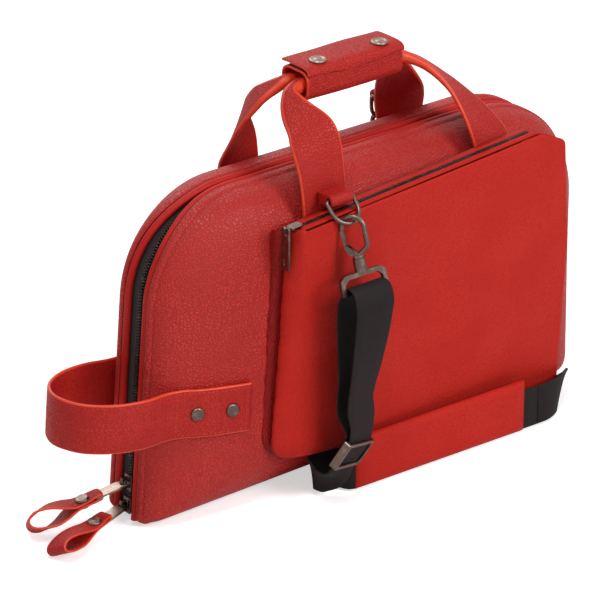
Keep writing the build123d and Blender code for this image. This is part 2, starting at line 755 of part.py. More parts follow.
with BuildPart() as back_hook_eye:
    hook_eye(back_hook_frame)

with BuildPart() as front_hook:
    hook_body(front_hook_frame, front_turn)

with BuildPart() as back_hook:
    hook_body(back_hook_frame, back_turn)

with BuildPart() as front_hook_gate:
    hook_gate(front_hook_frame, front_turn)

with BuildPart() as back_hook_gate:
    hook_gate(back_hook_frame, back_turn)

# ---------------------------------------------------------------- shoulder strap
front_eye = front_hook_frame.from_local_coords(Vector(0, 0, eye_z))
back_eye = back_hook_frame.from_local_coords(Vector(0, 0, eye_z))
fold = 4.3                 # centre of the webbing's fold round the back hook's bar
buckle_frame = Plane(origin=(-70.3, -97.8, 48.6), x_dir=(0.88, 0.335, -0.333), z_dir=(0.22, -0.88, -0.42))
buckle_height, buckle_bar, buckle_rail, buckle_gap = 27.0, 2.4, 3.4, 1.2

with BuildPart() as strap_loop:
    strap_solid(
        [
            (tuple(buckle_frame.from_local_coords(Vector(0, 3.2, -3.9))), tuple(buckle_frame.x_dir)),
            (tuple(buckle_frame.from_local_coords(Vector(0, 17, -6.5))), tuple(buckle_frame.x_dir)),
            ((-67, -91.5, 90), (0.95, 0.26, 0)),
            ((-67, -95.5, 125), (0.98, 0.15, 0)),
            ((-67, -96.8, 160), (1, 0, 0)),
            ((front_eye.X, -97, front_eye.Z - 18), (1, 0, 0)),
            ((front_eye.X, front_eye.Y + 6.5, front_eye.Z - 3), (1, 0, 0)),
            ((front_eye.X, front_eye.Y, front_eye.Z + 4.2), (1, 0, 0)),
            ((front_eye.X, front_eye.Y - 9, front_eye.Z + 3), (1, -0.05, 0)),
            ((front_eye.X, -122.5, 196), (1, -0.05, 0)),
            ((-67, -121.5, 182), (1, 0, 0)),
            ((-67, -118.5, 163), (1, 0.05, 0)),
            ((-67, -112, 131), (0.98, 0.18, 0)),
            ((-67, -104.6, 98.5), (0.95, 0.3, -0.05)),
            ((-63.4, -102.8, 78), (0.92, 0.34, -0.17)),
            *[(tuple(buckle_frame.from_local_coords(Vector(0, y, 0))), tuple(buckle_frame.x_dir)) for y in (10, -6, -14)],
        ],
        webbing_width,
        webbing_thickness,
    )

buckle_back = -webbing_thickness / 2 - seat - buckle_bar
buckle_depth = webbing_thickness + 2 * (seat + buckle_bar)
buckle_half = webbing_width / 2 + buckle_gap
with BuildPart() as strap_buckle:
    with BuildSketch(buckle_frame.offset(buckle_back)):
        RectangleRounded(2 * (buckle_half + buckle_rail), buckle_height, 2.4)
        Rectangle(2 * buckle_half, buckle_height - 2 * buckle_rail, mode=Mode.SUBTRACT)
    extrude(amount=buckle_depth)
    with BuildSketch(buckle_frame.offset(buckle_back - 1)):
        Rectangle(2 * buckle_half, buckle_height + 2)
    extrude(amount=buckle_depth - buckle_bar + 1, mode=Mode.SUBTRACT)
    with BuildSketch(buckle_frame.offset(buckle_back)):
        Rectangle(2 * buckle_half + 2, buckle_rail)
    extrude(amount=buckle_bar)

pad_left = Vector(-52.2, -79.6, 0)
pad_run = Vector(184.0, -8.0, 0).normalized()
stand_z = 1.2 + webbing_width / 2
pad_travel = 16.0


def pad_point(distance, z=stand_z):
    """A point on the pad's centre plane, measured from its left end."""
    spot = pad_left + pad_run * distance
    return (spot.X, spot.Y, z)


with BuildPart() as strap_lead:
    strap_solid(
        [
            (tuple(buckle_frame.from_local_coords(Vector(0, -14.6, 0))), tuple(buckle_frame.x_dir)),
            ((-80.5, -90.5, 28.3), (0.84, 0.25, -0.48)),
            ((-84.8, -81.5, 22.5), (0.66, 0.1, -0.75)),
            ((-87.5, -71.5, 21), (0.4, 0, -0.92)),
            ((-84, -61.5, 21.5), (0.15, 0, -0.99)),
            ((-75, -57.5, 21.5), (0, 0, -1)),
            ((-66.5, -62, 21.3), (0, 0, -1)),
            ((-62.5, -71, 20.8), (0, 0, -1)),
            (pad_point(-3.6), (0, 0, -1)),
        ],
        webbing_width,
        webbing_thickness,
        steps=3,
    )

with BuildPart() as strap_run:
    strap_solid(
        [(pad_point(-2 + seat), (0, 0, 1)), (pad_point(pad_length + pad_travel), (0, 0, 1))],
        webbing_width,
        webbing_thickness,
        steps=1,
    )

under_x, under_z = 190.0, 1.3
with BuildPart() as strap_tail:
    strap_solid(
        [
            (pad_point(pad_length + pad_travel + 2 * seat), (0, 0, 1)),
            ((160, -88.6, 20.3), (0.02, 0, 1)),
            ((174, -85, 20), (0.15, 0, 1)),
            ((187, -76, 18.5), (0.38, 0.1, 0.9)),
            ((195, -61, 12.5), (0.75, 0.1, 0.6)),
            ((196, -44, 6.0), (0.96, 0, 0.22)),
            ((192, -28, 1.7), (1, 0, 0.02)),
            ((under_x, -12, under_z), (1, 0, 0)),
            ((under_x, -0.2, under_z), (1, 0, 0)),
        ],
        webbing_width,
        webbing_thickness,
    )

with BuildPart() as strap_back:
    strap_solid(
        [
            ((under_x, 0.2, under_z), (1, 0, 0)),
            ((under_x, 14, under_z), (1, 0, 0)),
            ((190, 28, 2.2), (1, 0, 0)),
            ((188, 41, 6.5), (0.99, 0.1, 0.1)),
            ((185, 52, 18), (0.97, 0.1, 0.2)),
            ((178, 60, 38), (0.94, 0, 0.34)),
            ((164, 62.5, 68), (0.91, 0, 0.42)),
            ((142, 63, 112), (0.91, 0, 0.42)),
            ((118, 66, 156), (0.95, 0, 0.3)),
            ((104, back_eye.Y + fold, back_eye.Z - 12), (1, 0, 0.05)),
            ((back_eye.X, back_eye.Y + fold, back_eye.Z), (1, 0, 0)),
            ((back_eye.X, back_eye.Y, back_eye.Z + fold), (1, 0, 0)),
            ((back_eye.X, back_eye.Y - fold, back_eye.Z), (1, 0, 0)),
            ((back_eye.X, back_eye.Y - fold, back_eye.Z - 24), (1, 0, 0)),
        ],
        webbing_width,
        webbing_thickness,
    )

# ---------------------------------------------------------------- shoulder pad
pad_frame = Plane(origin=pad_left, x_dir=(0, 0, 1), z_dir=pad_run)
with BuildPart() as shoulder_pad:
    with BuildSketch(pad_frame) as pad_section:
        with Locations((pad_height / 2, 0)):
            RectangleRounded(pad_height, pad_thickness, 3)
        with Locations((stand_z, 0)):
            Rectangle(webbing_width + 1.2, webbing_thickness + 0.8, mode=Mode.SUBTRACT)
    extrude(amount=pad_length)

# ---------------------------------------------------------------- files
pieces = {
    "front_shell": front_shell, "front_padding": front_padding, "front_lining": front_lining,
    "back_shell": back_shell, "back_padding": back_padding, "back_lining": back_lining,
    "hinge_strip": hinge_strip, "front_piping": front_piping, "back_piping": back_piping,
    "front_zip_tape": front_zip_tape, "front_zip_coil": front_zip_coil,
    "back_zip_tape": back_zip_tape, "back_zip_coil": back_zip_coil,
    "lower_slider": lower_slider, "upper_slider": upper_slider,
    "lower_pull_tab": lower_pull_tab, "upper_pull_tab": upper_pull_tab,
    "lower_pull_leather": lower_pull_leather, "upper_pull_leather": upper_pull_leather,
    "lower_pull_rivet": lower_pull_rivet, "upper_pull_rivet": upper_pull_rivet,
    "front_handle": front_handle, "back_handle": back_handle,
    "grip_wrap": grip_wrap, "grip_flap": grip_flap, "snap_caps": snap_caps, "snap_studs": snap_studs,
    "end_handle": end_handle, "front_rivets": front_rivets, "back_rivets": back_rivets,
    "pocket_gusset": pocket_gusset, "pocket_panel": pocket_panel,
    "pocket_zip_tape": pocket_zip_tape, "pocket_zip_coil": pocket_zip_coil, "pocket_slider": pocket_slider,
    "pocket_pull": pocket_pull, "base_runner": base_runner,
    "front_ring_tab": front_ring_tab, "back_ring_tab": back_ring_tab,
    "front_ring": front_ring, "back_ring": back_ring,
    "front_hook_eye": front_hook_eye, "back_hook_eye": back_hook_eye,
    "front_hook": front_hook, "back_hook": back_hook,
    "front_hook_gate": front_hook_gate, "back_hook_gate": back_hook_gate,
    "strap_loop": strap_loop, "strap_buckle": strap_buckle, "strap_lead": strap_lead,
    "strap_run": strap_run, "strap_tail": strap_tail, "strap_back": strap_back,
    "shoulder_pad": shoulder_pad,
}
for name, piece in pieces.items():
    piece.part.label = name
    export_step(piece.part, f"parts/{name}.step")
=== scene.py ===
"""Dresses the zip-around leather carry case: pebbled leather half shells, a gusseted pocket, painted-edge straps,
dark nickel hardware and a ribbed webbing sling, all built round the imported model. Metres; X along the case,
Y from front to back, Z up. Sizes in the classes are millimetres, in the same places as the part's own values.
"""

import logging
import math
from dataclasses import dataclass, field
from enum import Enum
from typing import Any, Callable, Sequence

import bmesh
import bpy
from mathutils import Matrix, Vector, noise


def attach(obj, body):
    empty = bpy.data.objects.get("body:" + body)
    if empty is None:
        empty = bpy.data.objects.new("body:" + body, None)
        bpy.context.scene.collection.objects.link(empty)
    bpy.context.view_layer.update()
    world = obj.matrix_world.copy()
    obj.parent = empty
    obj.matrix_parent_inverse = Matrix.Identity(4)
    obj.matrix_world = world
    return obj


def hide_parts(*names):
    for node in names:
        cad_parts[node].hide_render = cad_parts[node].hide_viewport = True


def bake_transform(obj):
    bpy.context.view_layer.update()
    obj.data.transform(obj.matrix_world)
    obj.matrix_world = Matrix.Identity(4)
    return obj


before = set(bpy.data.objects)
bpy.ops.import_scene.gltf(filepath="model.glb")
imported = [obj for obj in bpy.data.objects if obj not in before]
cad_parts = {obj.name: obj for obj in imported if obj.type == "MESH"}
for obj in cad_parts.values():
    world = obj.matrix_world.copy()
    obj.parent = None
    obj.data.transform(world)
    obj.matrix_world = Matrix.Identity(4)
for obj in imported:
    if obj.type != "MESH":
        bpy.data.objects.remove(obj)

log = logging.getLogger("carry_case")
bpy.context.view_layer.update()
MM = 0.001
# a strap's place: its centre, the way across it and, where it is narrowed or folded, its width and thickness
Station = tuple[tuple[float, ...], ...]


# ------------------------------------------------------------------------------------------------ node helpers
def add_node(tree: bpy.types.NodeTree, kind: str, settings: dict[Any, Any] | None = None,
             links: dict[Any, bpy.types.NodeSocket] | None = None) -> bpy.types.Node:
    """Adds one node with its settings and links.

    Args:
        tree: node tree that receives it.
        kind: Blender's identifier of the node type.
        settings: values by input name, input number or property name.
        links: source sockets by input name or number.

    Returns:
        The new node.
    """
    made = tree.nodes.new(kind)
    for key, value in (settings or {}).items():
        if isinstance(key, int) or key in made.inputs:
            made.inputs[key].default_value = value
        else:
            setattr(made, key, value)
    for key, source in (links or {}).items():
        tree.links.new(source, made.inputs[key])
    return made


def linear(code: str) -> tuple[float, float, float, float]:
    """Linear colour of an sRGB hex code such as "c4251f"."""
    parts = [int(code[i:i + 2], 16) / 255 for i in (0, 2, 4)]
    return (*[c / 12.92 if c <= 0.04045 else ((c + 0.055) / 1.055) ** 2.4 for c in parts], 1.0)


def blank_material(name: str) -> tuple[bpy.types.Material, bpy.types.NodeTree, bpy.types.Node]:
    """A material with a bare Principled surface.

    Args:
        name: material name.

    Returns:
        The material, its node tree and the surface node.
    """
    material = bpy.data.materials.new(name)
    material.use_nodes = True
    tree = material.node_tree
    return material, tree, tree.nodes["Principled BSDF"]


def object_coords(tree: bpy.types.NodeTree) -> bpy.types.NodeSocket:
    """The piece's own coordinates, in metres."""
    return add_node(tree, "ShaderNodeTexCoord").outputs["Object"]


def cells_per_metre(spacing_mm: float) -> float:
    """Texture scale that repeats once every spacing_mm."""
    return 1000.0 / spacing_mm


def cloud(tree: bpy.types.NodeTree, where: bpy.types.NodeSocket, size_mm: float, detail: float) -> bpy.types.Node:
    """Noise whose lumps are about size_mm wide."""
    settings = {"Scale": cells_per_metre(size_mm), "Detail": detail}
    return add_node(tree, "ShaderNodeTexNoise", settings, {"Vector": where})


def two_tone(tree: bpy.types.NodeTree, surface: bpy.types.Node, low: str, high: str,
             share: bpy.types.NodeSocket) -> None:
    """Colours a surface between two sRGB codes by a share."""
    mixed = add_node(tree, "ShaderNodeMixRGB", {1: linear(low), 2: linear(high)}, {0: share})
    tree.links.new(mixed.outputs[0], surface.inputs["Base Color"])


def relief(tree: bpy.types.NodeTree, surface: bpy.types.Node, height: bpy.types.NodeSocket, strength: float,
           depth_mm: float, invert: bool = False) -> None:
    """Raises or sinks a surface's finest shape by a height."""
    bump = add_node(tree, "ShaderNodeBump", {"Strength": strength, "Distance": depth_mm * MM, "invert": invert},
                    {"Height": height})
    tree.links.new(bump.outputs["Normal"], surface.inputs["Normal"])


# ------------------------------------------------------------------------------------------------ finishes
@dataclass(frozen=True)
class PebbledLeather:
    """Milled, drum-dyed cowhide: rounded pebbles with painted shade in the creases between them and a soft waxy
    gloss.
    """

    name: str = "pebbled_leather"
    colour: str = "c2261f"
    # crease: the colour of the painted shade in the creases
    crease: str = "8c1310"
    bloom: str = "d0382e"
    pebble_mm: float = 2.6        # milled grain is 1.5 to 3.5 mm across
    relief_mm: float = 0.22
    roughness: float = 0.46
    # share of the crease colour, as painted shade, at the bottom of a crease
    crease_shade_share: float = 0.4
    specular: float = 0.3

    def build(self) -> bpy.types.Material:
        """Makes the material."""
        material, tree, surface = blank_material(self.name)
        where = object_coords(tree)
        drift = cloud(tree, where, 7.0, 1.0)
        push = add_node(tree, "ShaderNodeVectorMath", {"operation": "MULTIPLY_ADD", 1: (0.0016,) * 3},
                        {0: drift.outputs["Color"], 2: where})
        grain = add_node(tree, "ShaderNodeTexVoronoi",
                         {"feature": "DISTANCE_TO_EDGE", "Scale": cells_per_metre(self.pebble_mm), "Randomness": 0.9},
                         {"Vector": push.outputs[0]})
        pebble = add_node(tree, "ShaderNodeMapRange",
                          {"interpolation_type": "SMOOTHERSTEP", "From Min": 0.0, "From Max": 0.26},
                          {"Value": grain.outputs["Distance"]})
        pores = cloud(tree, where, 0.9, 2.0)
        # broad milling: areas of the hide with bolder and flatter grain
        milling = cloud(tree, where, 60.0, 2.0)
        bold = add_node(tree, "ShaderNodeMapRange",
                        {"From Min": 0.35, "From Max": 0.65, "To Min": 0.45, "To Max": 1.0},
                        {"Value": milling.outputs["Fac"]})
        height = add_node(tree, "ShaderNodeMath", {"operation": "MULTIPLY"},
                          {0: pebble.outputs["Result"], 1: bold.outputs["Result"]})
        fine = add_node(tree, "ShaderNodeMath", {"operation": "MULTIPLY_ADD", 1: 0.18},
                        {0: pores.outputs["Fac"], 2: height.outputs[0]})
        # painted shade in the creases: the lower the grain, the more crease colour, so creases read dim against the
        # pebble tops
        crease_shade_amount = add_node(tree, "ShaderNodeMapRange",
                          {"From Min": 0.0, "From Max": 0.8, "To Min": self.crease_shade_share, "To Max": 0.0},
                          {"Value": height.outputs[0]})
        tone = add_node(tree, "ShaderNodeMixRGB", {1: linear(self.colour), 2: linear(self.bloom)},
                        {0: add_node(tree, "ShaderNodeMapRange",
                                     {"From Min": 0.4, "From Max": 0.75, "To Min": 0.0, "To Max": 0.6},
                                     {"Value": milling.outputs["Fac"]}).outputs["Result"]})
        mixed = add_node(tree, "ShaderNodeMixRGB", {2: linear(self.crease)},
                         {0: crease_shade_amount.outputs["Result"], 1: tone.outputs[0]})
        tree.links.new(mixed.outputs[0], surface.inputs["Base Color"])
        gloss = add_node(tree, "ShaderNodeMapRange",
                         {"To Min": self.roughness + 0.2, "To Max": self.roughness - 0.05},
                         {"Value": height.outputs[0]})
        tree.links.new(gloss.outputs["Result"], surface.inputs["Roughness"])
        relief(tree, surface, fine.outputs[0], 0.85, self.relief_mm)
        surface.inputs["IOR"].default_value = 1.46
        surface.inputs["Specular IOR Level"].default_value = self.specular
        return material


@dataclass(frozen=True)
class EdgePaint:
    """Brushed-on acrylic edge paint over cut leather: a brighter orange red line with a soft rounded gloss."""

    name: str = "edge_paint"
    colour: str = "e8421c"

    def build(self) -> bpy.types.Material:
        """Makes the material."""
        material, tree, surface = blank_material(self.name)
        streak = cloud(tree, object_coords(tree), 3.0, 3.0).outputs["Fac"]
        two_tone(tree, surface, self.colour, "c9300f", streak)
        relief(tree, surface, streak, 0.3, 0.1)
        surface.inputs["Roughness"].default_value = 0.42
        return material


@dataclass(frozen=True)
class BondedThread:
    """Tonal bonded nylon thread: tight plies with a small dull highlight painted along them in a lighter colour."""

    name: str = "bonded_thread"
    colour: str = "a81c14"

    def build(self) -> bpy.types.Material:
        """Makes the material."""
        material, tree, surface = blank_material(self.name)
        ply_highlight = add_node(tree, "ShaderNodeTexWave", {"Scale": cells_per_metre(0.6) / 6.28, "Distortion": 1.0},
                       {"Vector": object_coords(tree)})
        # painted highlight: the lighter colour in bands along the plies
        two_tone(tree, surface, self.colour, "d2402e", ply_highlight.outputs["Fac"])
        surface.inputs["Roughness"].default_value = 0.6
        return material


@dataclass(frozen=True)
class DarkNickel:
    """Die-cast zinc under black nickel plate: a warm gunmetal that mirrors softly, rubbed brighter in patches."""

    name: str = "dark_nickel"
    colour: str = "6a5a52"
    rubbed: str = "a08e84"
    roughness: float = 0.26

    def build(self) -> bpy.types.Material:
        """Makes the material."""
        material, tree, surface = blank_material(self.name)
        where = object_coords(tree)
        patch = cloud(tree, where, 6.0, 4.0)
        worn = add_node(tree, "ShaderNodeMapRange", {"From Min": 0.5, "From Max": 0.75, "To Max": 0.55},
                        {"Value": patch.outputs["Fac"]})
        two_tone(tree, surface, self.colour, self.rubbed, worn.outputs["Result"])
        hairline = cloud(tree, where, 0.5, 2.0)
        gloss = add_node(tree, "ShaderNodeMapRange",
                         {"To Min": self.roughness - 0.05, "To Max": self.roughness + 0.12},
                         {"Value": hairline.outputs["Fac"]})
        tree.links.new(gloss.outputs["Result"], surface.inputs["Roughness"])
        relief(tree, surface, hairline.outputs["Fac"], 0.15, 0.03)
        surface.inputs["Metallic"].default_value = 1.0
        return material


@dataclass(frozen=True)
class Webbing:
    """Woven nylon webbing: ribs across the strap every 1.3 mm, a finer bind between them and a matt dark face."""

    name: str = "nylon_webbing"
    colour: str = "221a1a"
    # colour of the painted shade in the troughs of the weave
    shade: str = "0c0809"
    rib_mm: float = 1.3
    bind_mm: float = 1.7

    def build(self) -> bpy.types.Material:
        """Makes the material. Its pattern follows the strap's UV map, which is in millimetres."""
        material, tree, surface = blank_material(self.name)
        laid = add_node(tree, "ShaderNodeUVMap", {"uv_map": "run"}).outputs["UV"]
        split = add_node(tree, "ShaderNodeSeparateXYZ", links={"Vector": laid})
        along = add_node(tree, "ShaderNodeMath", {"operation": "MULTIPLY", 1: 2 * math.pi / self.rib_mm},
                         {0: split.outputs["X"]})
        across = add_node(tree, "ShaderNodeMath", {"operation": "MULTIPLY", 1: 2 * math.pi / self.bind_mm},
                          {0: split.outputs["Y"]})
        rib = add_node(tree, "ShaderNodeMath", {"operation": "SINE"}, {0: along.outputs[0]})
        bind = add_node(tree, "ShaderNodeMath", {"operation": "SINE"}, {0: across.outputs[0]})
        both = add_node(tree, "ShaderNodeMath", {"operation": "MULTIPLY_ADD", 1: 0.45},
                        {0: bind.outputs[0], 2: rib.outputs[0]})
        weave = add_node(tree, "ShaderNodeMapRange", {"From Min": -1.4, "From Max": 1.4}, {"Value": both.outputs[0]})
        fuzz = cloud(tree, object_coords(tree), 8.0, 4.0)
        share = add_node(tree, "ShaderNodeMath", {"operation": "MULTIPLY_ADD", 1: 0.4},
                         {0: fuzz.outputs["Fac"], 2: weave.outputs["Result"]})
        # painted shade: the weave's troughs take the trough colour, mixed with random fuzz tone
        two_tone(tree, surface, self.shade, self.colour, share.outputs[0])
        relief(tree, surface, weave.outputs["Result"], 0.7, 0.2)
        surface.inputs["Roughness"].default_value = 0.72
        surface.inputs["Specular IOR Level"].default_value = 0.2
        return material


@dataclass(frozen=True)
class FineFabric:
    """Plain woven or knitted cloth, for zip tape, the lining and the back of the shoulder pad."""

    name: str
    colour: str
    thread: str
    thread_mm: float = 0.8
    sheen: float = 0.15

    def build(self) -> bpy.types.Material:
        """Makes the material."""
        material, tree, surface = blank_material(self.name)
        where = object_coords(tree)
        weave = add_node(tree, "ShaderNodeTexVoronoi",
                         {"Scale": cells_per_metre(self.thread_mm), "Randomness": 0.25, "distance": "CHEBYCHEV"},
                         {"Vector": where})
        slub = cloud(tree, where, 12.0, 4.0)
        share = add_node(tree, "ShaderNodeMath", {"operation": "MULTIPLY"},
                         {0: weave.outputs["Distance"], 1: slub.outputs["Fac"]})
        two_tone(tree, surface, self.colour, self.thread, share.outputs[0])
        relief(tree, surface, weave.outputs["Distance"], 0.5, 0.12, invert=True)
        surface.inputs["Roughness"].default_value = 0.85
        surface.inputs["Sheen Weight"].default_value = self.sheen
        return material


@dataclass(frozen=True)
class CellFoam:
    """Cut polyethylene foam: matt charcoal with fine open cells."""

    name: str = "cell_foam"

    def build(self) -> bpy.types.Material:
        """Makes the material."""
        material, tree, surface = blank_material(self.name)
        cell = add_node(tree, "ShaderNodeTexVoronoi", {"Scale": cells_per_metre(1.2)},
                        {"Vector": object_coords(tree)})
        two_tone(tree, surface, "26262a", "47474c", cell.outputs["Distance"])
        relief(tree, surface, cell.outputs["Distance"], 0.6, 0.3)
        surface.inputs["Roughness"].default_value = 0.95
        return material


class Finish(Enum):
    """Every finish on the case, by the piece it is bought or cut for."""

    # each leather: its colour, its painted crease shade colour, random bloom tone, pebble size, relief, roughness,
    # share of painted crease shade, specular
    SHELL = PebbledLeather("shell_leather", "be211a", "7c0f0b", "cb3026", 2.8, 0.58, 0.38, 0.46, 0.42)
    POCKET = PebbledLeather("pocket_leather", "c2241a", "9c150e", "ca2c20", 1.8, 0.2, 0.5, 0.36, 0.18)
    # the gusset's copy is dimmer than the pocket leather: painted shade for the gusset's rings nearest the shell,
    # which turn away from the light
    GUSSET = PebbledLeather("gusset_leather", "96120e", "600907", "a31a14", 2.4, 0.45, 0.46, 0.5, 0.22)
    STRAP = PebbledLeather("strap_leather", "bd1f18", "760e0a", "cb2d22", 2.4, 0.42, 0.42, 0.46, 0.3)
    PIPING = PebbledLeather("piping_leather", "bb1e18", "9c140f", "c62a21", 1.6, 0.08, 0.42, 0.2, 0.25)
    EDGE = EdgePaint()
    THREAD = BondedThread()
    METAL = DarkNickel()
    BRIGHT = DarkNickel("rubbed_nickel", "8d7b70", "b9a89c", 0.3)
    TEETH = DarkNickel("zip_teeth_nickel", "4a403c", "8a7c74", 0.34)
    WEBBING = Webbing()
    TAPE = FineFabric("zip_tape_weave", "120e0f", "2c2526", 0.7, 0.1)
    BACKING = FineFabric("pad_backing_suede", "1c1516", "3a2f30", 0.9, 0.25)
    LINING = FineFabric("lining_velour", "1d1c20", "34333a", 1.0, 0.35)
    FOAM = CellFoam()


_made: dict[Finish, bpy.types.Material] = {}


def finish(kind: Finish) -> bpy.types.Material:
    """The material of a finish, made once."""
    if kind not in _made:
        _made[kind] = kind.value.build()
    return _made[kind]


# ------------------------------------------------------------------------------------------------ mesh helpers
def new_piece(name: str, vertices: Sequence[Sequence[float]], faces: Sequence[Sequence[int]],
              finishes: Sequence[Finish], picks: Sequence[int] | None = None,
              runs: Sequence[Sequence[tuple[float, float]]] | None = None) -> bpy.types.Object:
    """Makes one smooth-shaded piece.

    Args:
        name: piece name.
        vertices: points in millimetres.
        faces: vertex numbers of each face.
        finishes: the piece's finishes.
        picks: which of the finishes each face takes.
        runs: for each face corner, millimetres along and across the strap.

    Returns:
        The object, at the origin with its place in its mesh.
    """
    mesh = bpy.data.meshes.new(name)
    mesh.from_pydata([[c * MM for c in vertex] for vertex in vertices], [], [list(face) for face in faces])
    for kind in finishes:
        mesh.materials.append(finish(kind))
    if picks is not None:
        mesh.polygons.foreach_set("material_index", picks)
    mesh.polygons.foreach_set("use_smooth", [True] * len(mesh.polygons))
    if runs is not None:
        layer = mesh.uv_layers.new(name="run")
        layer.data.foreach_set("uv", [c for face in runs for corner in face for c in corner])
    mesh.update()
    piece = bpy.data.objects.new(name, mesh)
    bpy.context.scene.collection.objects.link(piece)
    return piece


def close_outwards(piece: bpy.types.Object) -> bpy.types.Object:
    """Turns a closed mesh's faces outwards."""
    sheet = bmesh.new()
    sheet.from_mesh(piece.data)
    bmesh.ops.recalc_face_normals(sheet, faces=sheet.faces[:])
    sheet.to_mesh(piece.data)
    sheet.free()
    return piece


def refined_copy(node: str, kind: Finish, name: str, bevel_mm: float) -> bpy.types.Object:
    """Copies a CAD solid, merges its triangles and rounds its edges as a plated casting or cut hide has them.

    Args:
        node: CAD node to copy.
        kind: finish of the copy.
        name: piece name.
        bevel_mm: edge rounding, 0 for none.

    Returns:
        The new piece.
    """
    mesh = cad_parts[node].data.copy()
    mesh.name = name
    shape = bmesh.new()
    shape.from_mesh(mesh)
    bmesh.ops.remove_doubles(shape, verts=shape.verts[:], dist=0.002 * MM)
    bmesh.ops.dissolve_limit(shape, angle_limit=math.radians(0.8), verts=shape.verts[:], edges=shape.edges[:])
    shape.to_mesh(mesh)
    shape.free()
    mesh.materials.clear()
    mesh.materials.append(finish(kind))
    mesh.polygons.foreach_set("material_index", [0] * len(mesh.polygons))
    mesh.polygons.foreach_set("use_smooth", [True] * len(mesh.polygons))
    mesh.set_sharp_from_angle(angle=math.radians(38))
    piece = bpy.data.objects.new(name, mesh)
    bpy.context.scene.collection.objects.link(piece)
    if bevel_mm:
        rounding = piece.modifiers.new("rounded_edges", "BEVEL")
        rounding.width = bevel_mm * MM
        rounding.segments = 3
        rounding.limit_method = "ANGLE"
        rounding.angle_limit = math.radians(28.0)
        rounding.harden_normals = False
    return piece


def eased(values: Sequence[Vector], lengths: Sequence[float], steps: int) -> list[Vector]:
    """Chord-length Catmull-Rom samples through values.

    Args:
        values: what is eased, one for each station.
        lengths: distance between neighbouring stations.
        steps: samples for each span.

    Returns:
        The samples, the last value included.
    """
    ends = [values[0] * 2 - values[1], *values, values[-1] * 2 - values[-2]]
    spans = [lengths[0], *lengths, lengths[-1]]
    made: list[Vector] = []
    for i in range(len(values) - 1):
        before, start, end, after = ends[i:i + 4]
        slope_in = (end - before) * (spans[i + 1] / (spans[i] + spans[i + 1]))
        slope_out = (after - start) * (spans[i + 1] / (spans[i + 1] + spans[i + 2]))
        for j in range(steps):
            t = j / steps
            made.append(start * (2 * t**3 - 3 * t**2 + 1) + slope_in * (t**3 - 2 * t**2 + t)
                        + end * (3 * t**2 - 2 * t**3) + slope_out * (t**3 - t**2))
    return made + [values[-1].copy()]


def smoothstep(low: float, high: float, value: float) -> float:
    """0 below low, 1 above high and eased between them."""
    t = min(max((value - low) / (high - low), 0.0), 1.0)
    return t * t * (3 - 2 * t)


def ripple(point: Vector, size_mm: float, seed: float = 0.0) -> float:
    """Repeatable noise from -1 to 1 whose lumps are about size_mm wide; point is in millimetres."""
    return noise.noise(point / size_mm + Vector((seed, seed * 0.7, -seed)))


def displace(piece: bpy.types.Object, height: Callable[[Vector, Vector], float]) -> bpy.types.Object:
    """Moves every vertex along its normal.

    Args:
        piece: the piece to work on.
        height: millimetres for a point in millimetres and its normal.

    Returns:
        The same piece.
    """
    mesh = piece.data
    moved = [v.co + v.normal * (height(v.co / MM, v.normal) * MM) for v in mesh.vertices]
    mesh.vertices.foreach_set("co", [c for point in moved for c in point])
    mesh.update()
    return piece


def rounded_ring(corners: Sequence[tuple[float, float]], radii: Sequence[float], arc_steps: Sequence[int],
                 edge_steps: Sequence[int]) -> list[tuple[float, float]]:
    """Points round a polygon with rounded corners, always the same number for the same steps.

    Args:
        corners: polygon corners.
        radii: corner radii.
        arc_steps: segments in each corner.
        edge_steps: segments on the edge after each corner.

    Returns:
        The points, in the order of the corners.
    """
    arcs = []
    count = len(corners)
    for i in range(count):
        here = Vector(corners[i])
        back = (Vector(corners[i - 1]) - here).normalized()
        on = (Vector(corners[(i + 1) % count]) - here).normalized()
        half = math.acos(max(-1.0, min(1.0, back.dot(on)))) / 2
        reach = radii[i] / math.tan(half)
        centre = here + (back + on).normalized() * (radii[i] / math.sin(half))
        start, end = here + back * reach - centre, here + on * reach - centre
        sweep = math.atan2(start.x * end.y - start.y * end.x, start.dot(end))
        arc = []
        for j in range(arc_steps[i] + 1):
            turn = sweep * j / arc_steps[i]
            arc.append(centre + Vector((start.x * math.cos(turn) - start.y * math.sin(turn),
                                        start.x * math.sin(turn) + start.y * math.cos(turn))))
        arcs.append(arc)
    ring: list[tuple[float, float]] = []
    for i in range(count):
        ring += [tuple(p) for p in arcs[i]]
        start, end = arcs[i][-1], arcs[(i + 1) % count][0]
        ring += [tuple(start.lerp(end, j / edge_steps[i])) for j in range(1, edge_steps[i])]
    return ring


def skin_faces(rings: int, count: int, flip: bool, closed: bool = True,
               leave_out: Callable[[int, int], bool] | None = None) -> list[tuple[int, int, int, int]]:
    """Quads between neighbouring rings of points.

    Args:
        rings: number of rings.
        count: points in each ring.
        flip: turns the faces round.
        closed: joins the last point of a ring to its first.
        leave_out: says which quads stay open, by ring and place.

    Returns:
        The faces.
    """
    faces = []
    for r in range(rings - 1):
        for i in range(count if closed else count - 1):
            if leave_out and leave_out(r, i):
                continue
            j = (i + 1) % count
            quad = (r * count + i, r * count + j, (r + 1) * count + j, (r + 1) * count + i)
            faces.append(quad[::-1] if flip else quad)
    return faces


def solidify(piece: bpy.types.Object, thickness_mm: float, offset: float = -1.0, rim: int = 0,
             even: bool = True) -> None:
    """Gives a sheet its thickness; offset -1 puts it inside, rim picks the finish of its cut edge."""
    wall = piece.modifiers.new("hide_thickness", "SOLIDIFY")
    wall.thickness = thickness_mm * MM
    wall.offset = offset
    wall.use_even_offset = even
    wall.material_offset_rim = rim


def dress_node(node: str, kind: Finish) -> None:
    """Gives a CAD node its finish."""
    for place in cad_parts[node].material_slots:
        place.material = finish(kind)
    log.info("node %s: %s", node, kind.name)


